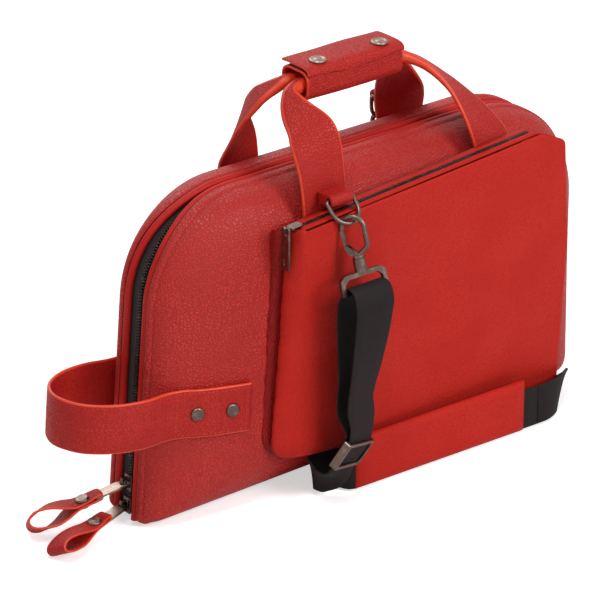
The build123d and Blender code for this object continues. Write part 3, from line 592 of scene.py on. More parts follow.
def carried(piece: bpy.types.Object, body: str, slot: str, *nodes: str) -> bpy.types.Object:
    """Rides a piece on its body.

    Args:
        piece: the piece.
        body: body that carries it.
        slot: the record's finish slot; not used.
        nodes: CAD nodes that it stands for.

    Returns:
        The same piece.
    """
    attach(piece, body)
    if nodes:
        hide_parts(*nodes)
    log.info("piece %s on %s, %d faces", piece.name, body, len(piece.data.polygons))
    return piece


def refinished(node: str, kind: Finish, name: str, bevel_mm: float, body: str, slot: str) -> None:
    """Puts a refined copy of a CAD node in that node's place."""
    carried(refined_copy(node, kind, name, bevel_mm), body, slot, node)


def bridged(piece: bpy.types.Object, slot: str, reach_mm: float, *nodes: str) -> bpy.types.Object:
    """Bakes the place of a piece that spans the base hinge into its mesh; the piece does not bend.

    Args:
        piece: the piece.
        slot: the record's finish slot; not used.
        reach_mm: not used.
        nodes: CAD nodes that it stands for.

    Returns:
        The same piece.
    """
    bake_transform(piece)
    if nodes:
        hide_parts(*nodes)
    log.info("piece %s over the hinge, %d faces", piece.name, len(piece.data.polygons))
    return piece


# ------------------------------------------------------------------------------------------------ straps and rows
@dataclass
class StrapFrame:
    """One cross-section of a strap: its centre, the way its width and its face lie, and its sizes."""

    centre: Vector
    across: Vector
    face: Vector
    width: float
    thickness: float
    run: float


@dataclass
class Strap:
    """A flat strap laid through stations, with half-round edges that may be painted."""

    stations: Sequence[Station]
    width: float
    thickness: float
    steps: int = 6
    crown: float = 0.0

    def frames(self) -> list[StrapFrame]:
        """Cross-sections along the strap, from its first station to its last."""
        points = [Vector(s[0]) for s in self.stations]
        lengths = [(b - a).length for a, b in zip(points, points[1:])]
        centres = eased(points, lengths, self.steps)
        sides = eased([Vector(s[1]).normalized() for s in self.stations], lengths, self.steps)
        sizes = eased([Vector((*(s[2] if len(s) > 2 else (self.width, self.thickness)), 0)) for s in self.stations],
                      lengths, self.steps)
        made, run = [], 0.0
        for i, (centre, side, size) in enumerate(zip(centres, sides, sizes)):
            way = (centres[min(i + 1, len(centres) - 1)] - centres[max(i - 1, 0)]).normalized()
            across = (side - way * side.dot(way)).normalized()
            if i:
                run += (centre - centres[i - 1]).length
            made.append(StrapFrame(centre, across, way.cross(across), size.x, size.y, run))
        return made

    def section(self, place: StrapFrame) -> list[tuple[float, float]]:
        """The strap's outline at a place, as distances across it and up its face."""
        half, rise = place.width / 2, place.thickness / 2
        soft = min(rise, half * 0.7)
        flat = half - soft
        top = [(flat * u, rise * (1 + self.crown * (1 - u * u))) for u in (-1, -0.5, 0, 0.5, 1)]
        edge = [(half - 0.3 * soft, rise * 0.74), (half, 0.0), (half - 0.3 * soft, -rise * 0.74)]
        under = [(u, -v) for u, v in reversed(top)]
        return top + edge + under + [(-u, v) for u, v in reversed(edge)]

    def build(self, name: str, face: Finish, edge: Finish) -> bpy.types.Object:
        """Makes the strap.

        Args:
            name: piece name.
            face: finish of both faces.
            edge: finish of the rounded edges.

        Returns:
            A closed mesh with a UV map in millimetres.
        """
        places = self.frames()
        count = 16
        vertices, marks = [], []
        for place in places:
            for u, v in self.section(place):
                vertices.append(place.centre + place.across * u + place.face * v)
                marks.append((place.run, u + place.width / 2))
        faces = skin_faces(len(places), count, True)
        picks = [0 if (k % count) < 4 or 8 <= (k % count) < 12 else 1 for k in range(len(faces))]
        last = (len(places) - 1) * count
        faces += [tuple(range(count)), tuple(range(last + count - 1, last - 1, -1))]
        picks += [1, 1]
        runs = [[marks[v] for v in quad] for quad in faces]
        return close_outwards(new_piece(name, vertices, faces, [face, edge], picks, runs))

    def line(self, offset: float, side: int = 1, first: float = 0.0, last: float = 1e9,
             lift: float = 0.0) -> tuple[list[Vector], list[Vector]]:
        """A line along one face of the strap.

        Args:
            offset: distance across from the strap's middle.
            side: which face, 1 or -1.
            first: millimetres along the strap where the line starts.
            last: where it ends.
            lift: height over the face.

        Returns:
            The points and the face's direction at each.
        """
        points, ups = [], []
        for place in self.frames():
            if first <= place.run <= last:
                up = place.face * side
                crown = 1 + self.crown * (1 - (2 * offset / place.width) ** 2)
                points.append(place.centre + place.across * offset + up * (place.thickness / 2 * crown + lift))
                ups.append(up)
        return points, ups


class RowShape(Enum):
    """Small shapes that repeat along a path."""

    TOOTH = "tooth"
    STITCH = "stitch"


@dataclass
class Row:
    """Copies of one small shape, evenly spaced along a path by Geometry Nodes."""

    name: str
    shape: RowShape
    size: tuple[float, float, float]
    spacing: float
    kind: Finish
    seed: int = 7
    wander: float = 0.06

    def element(self) -> bpy.types.Object:
        """The shape that repeats: X along the path, Z up from the surface."""
        mesh = bpy.data.meshes.new(f"{self.name}_element")
        shape = bmesh.new()
        if self.shape is RowShape.TOOTH:
            bmesh.ops.create_cube(shape, size=1.0)
            bmesh.ops.scale(shape, vec=Vector(self.size) * MM, verts=shape.verts[:])
            bmesh.ops.bevel(shape, geom=shape.edges[:], offset=0.22 * MM, segments=1, affect="EDGES")
        else:
            bmesh.ops.create_uvsphere(shape, u_segments=8, v_segments=5, radius=0.5)
            bmesh.ops.scale(shape, vec=Vector(self.size) * MM, verts=shape.verts[:])
        shape.to_mesh(mesh)
        shape.free()
        mesh.polygons.foreach_set("use_smooth", [self.shape is RowShape.STITCH] * len(mesh.polygons))
        element = bpy.data.objects.new(mesh.name, mesh)
        bpy.context.scene.collection.objects.link(element)
        return element

    def tree(self) -> bpy.types.NodeTree:
        """The Geometry Nodes tree: mesh edges to a curve, even points, one turned copy on each."""
        tree = bpy.data.node_groups.new(f"{self.name}_row", "GeometryNodeTree")
        for label, kind in (("Path", "NodeSocketGeometry"), ("Spacing", "NodeSocketFloat"),
                            ("Shape", "NodeSocketObject"), ("Wander", "NodeSocketFloat")):
            tree.interface.new_socket(name=label, in_out="INPUT", socket_type=kind)
        tree.interface.new_socket(name="Row", in_out="OUTPUT", socket_type="NodeSocketGeometry")
        start, end = add_node(tree, "NodeGroupInput"), add_node(tree, "NodeGroupOutput")
        line = add_node(tree, "GeometryNodeMeshToCurve", links={"Mesh": start.outputs["Path"]})
        even = add_node(tree, "GeometryNodeResampleCurve", {"mode": "LENGTH"},
                        {"Curve": line.outputs["Curve"], "Length": start.outputs["Spacing"]})
        up = add_node(tree, "GeometryNodeInputNamedAttribute", {"data_type": "FLOAT_VECTOR", "Name": "up"})
        way = add_node(tree, "GeometryNodeInputTangent")
        turn = add_node(tree, "FunctionNodeAxesToRotation", {"primary_axis": "Z", "secondary_axis": "X"},
                        {0: up.outputs["Attribute"], 1: way.outputs["Tangent"]})
        shape = add_node(tree, "GeometryNodeObjectInfo", {"transform_space": "ORIGINAL", "As Instance": True},
                         {"Object": start.outputs["Shape"]})
        low = add_node(tree, "ShaderNodeMath", {"operation": "SUBTRACT", 0: 1.0}, {1: start.outputs["Wander"]})
        high = add_node(tree, "ShaderNodeMath", {"operation": "ADD", 0: 1.0}, {1: start.outputs["Wander"]})
        size = add_node(tree, "FunctionNodeRandomValue", {"data_type": "FLOAT", "Seed": self.seed},
                        {2: low.outputs[0], 3: high.outputs[0]})
        copies = add_node(tree, "GeometryNodeInstanceOnPoints", links={
            "Points": even.outputs["Curve"], "Instance": shape.outputs["Geometry"],
            "Rotation": turn.outputs["Rotation"], "Scale": size.outputs[1]})
        solid = add_node(tree, "GeometryNodeRealizeInstances", links={"Geometry": copies.outputs["Instances"]})
        finished = add_node(tree, "GeometryNodeSetMaterial", {"Material": finish(self.kind)},
                            {"Geometry": solid.outputs["Geometry"]})
        tree.links.new(finished.outputs["Geometry"], end.inputs["Row"])
        return tree

    def build(self, paths: Sequence[tuple[Sequence[Vector], Sequence[Vector]]]) -> bpy.types.Object:
        """Lays the row along its paths.

        Args:
            paths: points and surface directions of each path, in millimetres.

        Returns:
            One plain mesh.
        """
        points = [p for path in paths for p in path[0]]
        ups = [u for path in paths for u in path[1]]
        edges, start = [], 0
        for path in paths:
            edges += [(start + i, start + i + 1) for i in range(len(path[0]) - 1)]
            start += len(path[0])
        mesh = bpy.data.meshes.new(self.name)
        mesh.from_pydata([[c * MM for c in p] for p in points], edges, [])
        mesh.attributes.new("up", "FLOAT_VECTOR", "POINT").data.foreach_set("vector", [c for u in ups for c in u])
        piece = bpy.data.objects.new(self.name, mesh)
        bpy.context.scene.collection.objects.link(piece)
        element, tree = self.element(), self.tree()
        layer = piece.modifiers.new("row", "NODES")
        layer.node_group = tree
        inputs = {item.name: item.identifier for item in tree.interface.items_tree if item.in_out == "INPUT"}
        layer[inputs["Spacing"]] = self.spacing * MM
        layer[inputs["Shape"]] = element
        layer[inputs["Wander"]] = self.wander
        graph = bpy.context.evaluated_depsgraph_get()
        plain = bpy.data.meshes.new_from_object(piece.evaluated_get(graph), depsgraph=graph)
        piece.modifiers.remove(layer)
        piece.data = plain
        plain.name = self.name
        bpy.data.objects.remove(element)
        return piece


def tube(name: str, points: Sequence[Vector], radius: float, sides: int, kind: Finish,
         side: Vector) -> bpy.types.Object:
    """A round cord along a flat path.

    Args:
        name: piece name.
        points: path in millimetres.
        radius: cord radius.
        sides: points round the cord.
        kind: its finish.
        side: direction square to the path's plane.

    Returns:
        A closed mesh.
    """
    vertices = []
    for i, point in enumerate(points):
        way = (points[min(i + 1, len(points) - 1)] - points[max(i - 1, 0)]).normalized()
        out = way.cross(side).normalized()
        for j in range(sides):
            turn = 2 * math.pi * j / sides
            vertices.append(point + (side * math.cos(turn) + out * math.sin(turn)) * radius)
    faces = [*skin_faces(len(points), sides, True)]
    last = (len(points) - 1) * sides
    faces += [tuple(range(sides)), tuple(range(last + sides - 1, last - 1, -1))]
    return close_outwards(new_piece(name, vertices, faces, [kind]))


def domed_cap(centre: Vector, up: Vector, radius: float, height: float, dish: float = 0.0,
              sides: int = 36) -> tuple[list[Vector], list[tuple[int, ...]]]:
    """A turned cap with a rolled edge.

    Args:
        centre: middle of its foot.
        up: the way it faces.
        radius: its radius.
        height: its height.
        dish: how deep the ring pressed in its top is.
        sides: segments round it.

    Returns:
        Vertices and faces of a closed shape.
    """
    east = up.orthogonal().normalized()
    north = up.cross(east)
    profile = [(0.92, 0.0), (0.99, 0.12), (1.0, 0.34), (0.97, 0.58), (0.90, 0.78), (0.80, 0.9),
               (0.66, 0.96 - dish * 0.4), (0.55, 0.98 - dish), (0.42, 1.0 - dish * 0.5), (0.2, 1.0)]
    vertices = [centre + (east * math.cos(a) + north * math.sin(a)) * (r * radius) + up * (h * height)
                for r, h in profile for a in [2 * math.pi * k / sides for k in range(sides)]]
    faces: list[tuple[int, ...]] = list(skin_faces(len(profile), sides, False))
    faces.append(tuple(range(sides - 1, -1, -1)))
    vertices.append(centre + up * height)
    top = (len(profile) - 1) * sides
    faces += [(top + k, top + (k + 1) % sides, len(vertices) - 1) for k in range(sides)]
    return vertices, faces


def caps_piece(name: str, spots: Sequence[tuple[Vector, Vector]], radius: float, height: float, kind: Finish,
               dish: float = 0.0) -> bpy.types.Object:
    """Several equal caps as one piece; spots are the middle of each foot and the way it faces."""
    vertices: list[Vector] = []
    faces: list[tuple[int, ...]] = []
    for centre, up in spots:
        more, plates = domed_cap(centre, up.normalized(), radius, height, dish)
        faces += [tuple(v + len(vertices) for v in plate) for plate in plates]
        vertices += more
    return close_outwards(new_piece(name, vertices, faces, [kind]))


# ------------------------------------------------------------------------------------------------ the case
FRONT, BACK = "front_half", "back_half"
LEATHER, NICKEL, WEB, CHAIN = "red_leather", "dark_nickel", "webbing", "zip_chain"


@dataclass(frozen=True)
class CaseOutline:
    """The side outline that the shells, piping and zip all follow."""

    length: float = 474.0
    height: float = 277.4
    base_z: float = 2.6
    left_lean: float = 5.0
    right_lean: float = 0.8
    crown_radius: float = 92.0
    base_radius: float = 8.0
    rim_y: float = 16.0
    depth: float = 42.0
    top_lean: float = 7.4
    pull_in: tuple[float, float, float, float] = (130.0, 60.0, 60.0, 65.0)    # left, right, top, base
    arc_steps: tuple[int, ...] = (8, 26, 26, 8)
    edge_steps: tuple[int, ...] = (34, 50, 34, 76)

    def wall_x(self, side: int, inset: float, z: float) -> float:
        """X of a leaning end wall at height z."""
        lean = self.left_lean if side < 0 else self.right_lean
        return side * (self.length / 2 - inset - math.tan(math.radians(lean)) * (z - self.base_z))

    def ring(self, swell: float, proud: float = 0.0) -> list[tuple[float, float]]:
        """The outline pulled in by a share of the shell's rounding, then pushed out by proud."""
        left, right, top, base = (p * swell - proud for p in self.pull_in)
        low, high = self.base_z + base, self.base_z + self.height - top
        corners = [(self.wall_x(-1, left, low), low), (self.wall_x(-1, left, high), high),
                   (self.wall_x(1, right, high), high), (self.wall_x(1, right, low), low)]
        crown, base_corner = self.crown_radius - 40 * swell + proud, max(self.base_radius + 30 * swell + proud, 2.0)
        return rounded_ring(corners, [base_corner, crown, crown, base_corner], self.arc_steps, self.edge_steps)

    def band_line(self, inset: float, y: float, foot: float, steps: int = 3) -> list[Vector]:
        """The open line up the left end, over the crown and down the right end, at an inset and a depth."""
        high = self.base_z + self.height - inset
        corners = [(self.wall_x(-1, inset, foot), foot), (self.wall_x(-1, inset, high), high),
                   (self.wall_x(1, inset, high), high), (self.wall_x(1, inset, foot), foot)]
        ring = rounded_ring(corners, [0.5, self.crown_radius - inset, self.crown_radius - inset, 0.5],
                            (2, 16 * steps, 16 * steps, 2), (10 * steps, 14 * steps, 10 * steps, 2))
        return [Vector((x, y, z)) for x, z in ring[2:-3]]

    def close_in(self, x: float, z: float) -> float:
        """How far each rim leans over the zip: nothing up the ends, and nearly shut along the top."""
        return self.top_lean * (1 - smoothstep(150, 215, abs(x))) * smoothstep(120, 200, z)

    def wall_frame(self, height: float) -> Matrix:
        """The left end's own frame at a height: columns out of the wall, forwards and up the wall."""
        lean = math.radians(self.left_lean)
        out, up = Vector((-math.cos(lean), 0, math.sin(lean))), Vector((math.sin(lean), 0, math.cos(lean)))
        made = Matrix((out, up.cross(out), up)).transposed().to_4x4()
        made.translation = Vector((self.wall_x(-1, 0, height), 0, height))
        return made


OUTLINE = CaseOutline()


@dataclass
class HalfShells:
    """The two padded half shells: pebbled hide over foam, with a stitched welt behind the piping."""

    welt_from: float = 1.2
    welt_to: float = 6.4
    welt_rise: float = 0.9
    wall: float = 1.8
    fill: float = 0.5
    distances: tuple[float, ...] = (0, 0.7, 1.3, 2.0, 3.2, 4.6, 5.6, 6.3, 6.9, 7.6, 8.6, 10.2, 12.4)

    def rise(self, distance: float) -> float:
        """Height of the welt at a distance in from the rim, with the sewn groove behind it."""
        welt = smoothstep(0.2, self.welt_from + 0.6, distance)
        welt *= 1 - smoothstep(self.welt_to - 0.9, self.welt_to + 0.3, distance)
        groove = math.exp(-((distance - self.welt_to - 0.5) / 0.55) ** 2)
        return self.welt_rise * welt - 0.35 * groove

    def build(self, side: int, name: str) -> bpy.types.Object:
        """Makes one shell.

        Args:
            side: -1 for the front, 1 for the back.
            name: piece name.

        Returns:
            The shell's hide, open at its rim.
        """
        angles = [math.asin(d / OUTLINE.depth) for d in self.distances]
        angles += [math.radians(a) for a in range(21, 91, 3)]
        vertices: list[Vector] = []
        for angle in angles:
            proud = self.rise(OUTLINE.depth * math.sin(angle)) if angle < 0.4 else 0.0
            y = OUTLINE.rim_y + OUTLINE.depth * math.sin(angle) + proud * math.sin(angle)
            ring = OUTLINE.ring(1 - math.cos(angle), proud * math.cos(angle))
            hold = 1 - smoothstep(0, 17, OUTLINE.depth * math.sin(angle))
            vertices += [Vector((x, side * (y - hold * OUTLINE.close_in(x, z)), z)) for x, z in ring]
        count = len(ring)
        face_y = side * (OUTLINE.rim_y + OUTLINE.depth)
        centre = Vector((sum(p[0] for p in ring) / count, face_y, sum(p[1] for p in ring) / count))
        shares = (0.93, 0.85, 0.76, 0.66, 0.55, 0.44, 0.33, 0.22, 0.11)
        for share in shares:
            vertices += [centre + (Vector((x, centre.y, z)) - centre) * share for x, z in ring]
        rings = len(angles) + len(shares)
        faces: list[tuple[int, ...]] = list(skin_faces(rings, count, side < 0))
        hub = len(vertices)
        vertices.append(centre)
        last = (rings - 1) * count
        for i in range(count):
            tri = (last + i, last + (i + 1) % count, hub)
            faces.append(tri[::-1] if side < 0 else tri)
        shell = new_piece(name, vertices, faces, [Finish.SHELL])
        self.settle(shell, side)
        solidify(shell, self.wall)
        return shell

    def settle(self, shell: bpy.types.Object, side: int) -> None:
        """Lets the hide sink and ripple a little, never outwards, and less near the rim."""
        def height(point: Vector, normal: Vector) -> float:
            inward = smoothstep(26, 44, abs(point.y))
            broad = 0.5 + 0.5 * ripple(point, 60, 3.0 + side)
            small = 0.5 + 0.5 * ripple(Vector((point.x, point.y, point.z * 1.9)), 15, 9.0)
            dome = smoothstep(-90, -150, point.x) if side < 0 else 0.5
            return -inward * (1.0 * broad + (0.22 + 0.25 * dome) * small)
        displace(shell, height)

    def dress(self) -> None:
        """Builds both shells, their welt stitches, the foam and the lining."""
        for side, body, tag in ((-1, FRONT, "front"), (1, BACK, "back")):
            shell = self.build(side, f"{tag}_shell_hide")
            carried(shell, body, LEATHER, f"{tag}_shell")
            self.stitch(side, body, tag)
            dress_node(f"{tag}_padding", Finish.FOAM)
            dress_node(f"{tag}_lining", Finish.LINING)

    def stitch(self, side: int, body: str, tag: str) -> None:
        """Sews the welt: 8 stitches in 30 mm, down in the groove behind it."""
        distance = self.welt_to - 1.5
        angle = math.asin(distance / OUTLINE.depth)
        ring = OUTLINE.ring(1 - math.cos(angle), self.rise(distance) + 0.05)
        y = side * (OUTLINE.rim_y + distance)
        hold = 1 - smoothstep(0, 17, distance)
        points = [Vector((x, y - side * hold * OUTLINE.close_in(x, z), z)) for x, z in ring]
        middle = Vector((0, y, 140))
        ups = []
        for i, point in enumerate(points):
            way = points[(i + 1) % len(points)] - points[i - 1]
            up = way.cross(Vector((0, 1, 0))).normalized()
            ups.append(up if up.dot(point - middle) > 0 else -up)
        skip = OUTLINE.edge_steps[3] - 1
        row = Row(f"{tag}_welt_stitches", RowShape.STITCH, (2.6, 0.62, 0.5), 3.75, Finish.THREAD)
        carried(row.build([(points[:-skip], ups[:-skip])]), body, LEATHER)


@dataclass
class Piping:
    """Leather-covered cord round both rims."""

    radius: float = 3.4
    y: float = 12.5
    inset: float = 2.4
    foot: float = 4.0

    def dress(self) -> None:
        """Lays both cords."""
        for side, body, tag in ((-1, FRONT, "front"), (1, BACK, "back")):
            line = OUTLINE.band_line(self.inset, side * self.y, self.foot)
            line = [p - Vector((0, side * OUTLINE.close_in(p.x, p.z), 0)) for p in line]
            cord = tube(f"{tag}_piping_cord", line, self.radius, 18, Finish.PIPING, Vector((0, 1, 0)))
            displace(cord, lambda point, normal: -0.1 + 0.12 * ripple(point, 7.0, 4.0))
            carried(cord, body, LEATHER, f"{tag}_piping")


@dataclass
class MainZip:
    """The long two-way zip: woven tapes, two rows of metal teeth, sliders and their leather pulls."""

    inset: float = 5.1
    pitch: float = 2.6
    tooth: tuple[float, float, float] = (1.15, 3.1, 1.7)
    foot: float = 5.6
    slider_z: dict[str, float] = field(default_factory=lambda: {"lower": 13.0, "upper": 34.0})
    yaw: dict[str, float] = field(default_factory=lambda: {"lower": 16.0, "upper": -16.0})
    droop: dict[str, float] = field(default_factory=lambda: {"lower": 3.5, "upper": 15.0})
    tab_length: float = 27.0
    bail: float = 1.2
    raised: dict[str, float] = field(default_factory=dict)

    def teeth(self) -> None:
        """Two interlocked rows of teeth, half a pitch apart."""
        for side, body, tag, shift in ((-1, FRONT, "front", 0.0), (1, BACK, "back", self.pitch / 2)):
            line = OUTLINE.band_line(self.inset, side * 1.35, self.foot + shift, 4)
            ups = []
            for i, point in enumerate(line):
                way = line[min(i + 1, len(line) - 1)] - line[max(i - 1, 0)]
                inward = way.cross(Vector((0, 1, 0))).normalized()
                ups.append(-inward if inward.dot(Vector((0, 0, 140)) - point) > 0 else inward)
            row = Row(f"{tag}_zip_teeth", RowShape.TOOTH, self.tooth, self.pitch, Finish.TEETH, wander=0.03)
            carried(row.build([(line, ups)]), body, CHAIN, f"{tag}_zip_coil")
            dress_node(f"{tag}_zip_tape", Finish.TAPE)

    def pull_frame(self, name: str) -> Matrix:
        """Frame in a slider's bail: X out along the pull, Z its upper face."""
        place = OUTLINE.wall_frame(self.slider_z[name])
        yaw, droop = math.radians(self.yaw[name]), math.radians(self.droop[name])
        run = Vector((-math.cos(droop) * math.cos(yaw), -math.cos(droop) * math.sin(yaw), -math.sin(droop)))
        face = Vector((-math.sin(droop) * math.cos(yaw), -math.sin(droop) * math.sin(yaw), math.cos(droop)))
        made = Matrix((run, face.cross(run), face)).transposed().to_4x4()
        made.translation = place @ Vector((self.bail, 0, 0))
        return made

    def pull_loop(self, name: str) -> bpy.types.Object:
        """A strip of hide through the tab's slot, riveted on itself, that opens into a teardrop.

        Args:
            name: which slider's pull.

        Returns:
            The strip as a closed mesh.
        """
        place = self.pull_frame(name)
        open_half, twist = (6.4, 30.0) if name == "lower" else (8.0, 38.0)
        side = [(21.4, 0.0, 10), (22.6, 1.9, 11.5), (27.5, 2.1, 13), (33, 1.5, 14.5), (39, 1.25, 15.5), (46, 1.7, 17),
                (55, 0.5 * open_half + 1, 19), (66, open_half, 21.5), (77, open_half * 0.98, 23),
                (85, open_half * 0.6, 23.5)]
        whole = side + [(87.6, 0.0, 23.5)] + [(x, -z, w) for x, z, w in reversed(side[1:])] + [side[0]]
        stations: list[Station] = []
        for x, z, width in whole:
            turn = math.radians(twist) * smoothstep(44, 84, x)
            centre = place @ Vector((x, -z * math.sin(turn), z * math.cos(turn)))
            across = place.to_3x3() @ Vector((0, math.cos(turn), math.sin(turn)))
            stations.append((tuple(centre), tuple(across), (width, 2.1)))
        loop = Strap(stations, 20, 2.1, 5).build(f"{name}_pull_hide", Finish.STRAP, Finish.EDGE)
        self.raised[name] = max(0.0, 0.4 - min(v.co.z for v in loop.data.vertices) / MM)
        for vertex in loop.data.vertices:
            vertex.co.z += self.lift_off(name, vertex.co.z / MM) * MM
        return loop

    def lift_off(self, name: str, z: float) -> float:
        """How far a pull's soft part rises at a height so that it lies on the ground and not in it."""
        return self.raised[name] * smoothstep(30, 0, z)

    def dress(self) -> None:
        """Builds the teeth, sliders, tabs, loops and rivets."""
        self.teeth()
        for name in ("lower", "upper"):
            body = f"{name}_pull"
            refinished(f"{name}_slider", Finish.METAL, f"{name}_slider_cast", 0.45, f"{name}_slider", NICKEL)
            refinished(f"{name}_pull_tab", Finish.BRIGHT, f"{name}_pull_stamping", 0.4, body, NICKEL)
            carried(self.pull_loop(name), body, LEATHER, f"{name}_pull_leather")
            place = self.pull_frame(name)
            x = self.tab_length + 11
            spots = [(place @ Vector((x, 0, s * 2.3)), place.to_3x3() @ Vector((0, 0, s))) for s in (1, -1)]
            spots = [(spot + Vector((0, 0, self.lift_off(name, spot.z))), way) for spot, way in spots]
            caps = caps_piece(f"{name}_pull_caps", spots, 6.0, 2.2, Finish.METAL, 0.12)
            carried(caps, body, NICKEL, f"{name}_pull_rivet")


@dataclass
class CarryHandles:
    """Two strap handles, folded round inside a grip wrap that snaps shut under a flap."""

    leg_y: float = 59.9
    width: float = 45.0
    thickness: float = 3.2
    grip: tuple[float, float] = (-54.0, 48.0)
    core: tuple[float, float] = (11.5, 12.0)
    core_y: float = 7.3
    core_z: float = 347.5
    wrap_width: float = 36.0
    wrap_height: float = 27.0
    wrap_top: float = 361.0
    flap_z: float = 362.3
    snaps: tuple[tuple[float, float], ...] = ((-36, -8), (30, -8))

    def strap(self, side: int) -> Strap:
        """One handle's route, side -1 for the front."""
        y, left, right, z = self.leg_y, *self.grip, self.core_z
        turned = (0, 1, 0)

        def inside(*places: float) -> list[Station]:
            """The strap folded into the grip's core, at places along it."""
            return [((x, side * self.core_y, z), turned, self.core) for x in places]
        if side < 0:
            stations: list[Station] = [
                ((-70, -y, 206), (-1, 0, 0)), ((-70, -y, 228), (-1, 0, 0)), ((-70, -y, 250), (-1, 0, 0)),
                ((-71, -57, 290), (-1, 0.1, 0), (44, 3.2)), ((-72, -46, 322), (-0.9, 0.4, 0), (42, 3.4)),
                ((-73, -26, 336.5), (-0.5, 0.85, 0.1), (27, 6)),
                ((left - 13, -self.core_y - 4, z - 2.8), (-0.2, 1, 0.03), (15, 8.5)),
                *inside(left - 1, left + 8, right - 3, right + 3),
                ((right + 10, -self.core_y - 1.5, z - 1.5), turned, (13, 10)),
                ((74, -16, 337), (0.3, 0.9, 0), (22, 7)), ((92, -30, 318), (0.65, 0.7, 0), (32, 4)),
                ((106, -46, 292), (0.87, 0.4, 0), (42, 3.4)), ((116, -57, 264), (1, 0.1, 0)),
                ((118, -y, 238), (1, 0, 0)), ((118, -y, 206), (1, 0, 0))]
        else:
            stations = [
                ((-68, y, 206), (1, 0, 0)), ((-68, y, 226), (1, 0, 0)), ((-68, y, 246), (1, 0, 0)),
                ((-72, 54, 276), (0.95, 0.2, 0)), ((-80, 40, 308), (0.7, 0.7, 0), (40, 3.4)),
                ((-76, 21, 334), (0.35, 0.9, 0), (26, 6)),
                ((left - 9, self.core_y + 2.5, z - 2), turned, (14, 9)),
                *inside(left - 3, left + 3, right - 3, right + 3),
                ((right + 9, self.core_y + 2, z - 2), turned, (14, 10)),
                ((70, 17, 332), (-0.3, 0.9, 0), (24, 6)), ((84, 30, 309), (-0.65, 0.75, 0), (38, 3.4)),
                ((99, 47, 282), (-0.9, 0.4, 0)), ((110, 58, 254), (-1, 0.1, 0)),
                ((112, y, 232), (-1, 0, 0)), ((112, y, 206), (-1, 0, 0))]
        return Strap(stations, self.width, self.thickness, 8)

    def wrap(self) -> bpy.types.Object:
        """The sleeve round both handles: a thick hide tube, a little barrelled, with painted ends."""
        left, right = self.grip
        vertices: list[Vector] = []
        half_w, half_h = self.wrap_width / 2, self.wrap_height / 2
        steps = 26

        def ring(x: float, shrink: float) -> list[Vector]:
            share = (x - left) / (right - left)
            crown = 0.5 * math.sin(math.pi * min(max(share, 0), 1))
            w, h = half_w - shrink + crown - 0.5, half_h - shrink + crown - 0.5
            corners = [(-w, -h), (-w, h), (w, h), (w, -h)]
            return [Vector((x, u, self.wrap_top - half_h + v)) for u, v in
                    rounded_ring(corners, [max(9 - shrink, 2)] * 4, (7,) * 4, (6, 8, 6, 8))]
        profile = [(left + 1.0 + (right - left - 2.0) * i / steps, 0.0) for i in range(steps + 1)]
        path = ([(left + 0.5, 2.4), (left, 1.9), (left, 0.6), (left + 0.5, 0.05)] + profile
                + [(right - 0.5, 0.05), (right, 0.6), (right, 1.9), (right - 0.5, 2.4)]
                + [(right - 4.0, 2.5), (0.0, 2.5), (left + 4.0, 2.5)])
        for x, shrink in path:
            vertices += ring(x, shrink)
        count = len(vertices) // len(path)
        faces = skin_faces(len(path), count, True)
        first = len(vertices) - count
        faces += [(i, first + i, first + (i + 1) % count, (i + 1) % count) for i in range(count)]
        edge = [0 if 4 <= k // count < 4 + len(profile) else 1 for k in range(len(faces))]
        return close_outwards(new_piece("grip_wrap_hide", vertices, faces, [Finish.STRAP, Finish.EDGE], edge))

    def flap(self) -> bpy.types.Object:
        """The closing flap, with a lip that dips in the middle of its front edge."""
        left, right = self.grip[0] - 0.3, self.grip[1] + 0.3
        half = self.wrap_width / 2
        columns, vertices = 44, []
        for i in range(columns + 1):
            share = i / columns
            x = left + (right - left) * share
            dip = 5.0 + 4.2 * math.sin(math.pi * share) ** 2 + 0.5 * math.sin(share * 19)
            bow = 0.5 * math.sin(math.pi * share) + 0.25 * math.sin(share * 11 + 1)
            profile = [(half - 0.5, -0.6), (half * 0.75, 0.1), (half * 0.3, 0.35), (-half * 0.2, 0.4),
                       (-half * 0.65, 0.15), (-half * 0.93, -0.9), (-half * 1.06, -3.0),
                       (-half * 1.08, -3.0 - dip * 0.45), (-half * 1.07, -3.0 - dip * 0.8)]
            vertices += [Vector((x, y, self.flap_z + 2.5 + z + bow * (1 if z > -1.5 else 0.4))) for y, z in profile]
        faces = skin_faces(columns + 1, len(profile), False, closed=False)
        flap = new_piece("grip_flap_hide", vertices, faces, [Finish.STRAP, Finish.EDGE])
        solidify(flap, 2.3, -1.0, 1)
        rounded = flap.modifiers.new("soft_edge", "BEVEL")
        rounded.width, rounded.segments, rounded.limit_method = 0.7 * MM, 2, "ANGLE"
        rounded.angle_limit = math.radians(50)
        smooth = flap.modifiers.new("smooth_hide", "SUBSURF")
        smooth.levels = smooth.render_levels = 1
        return flap

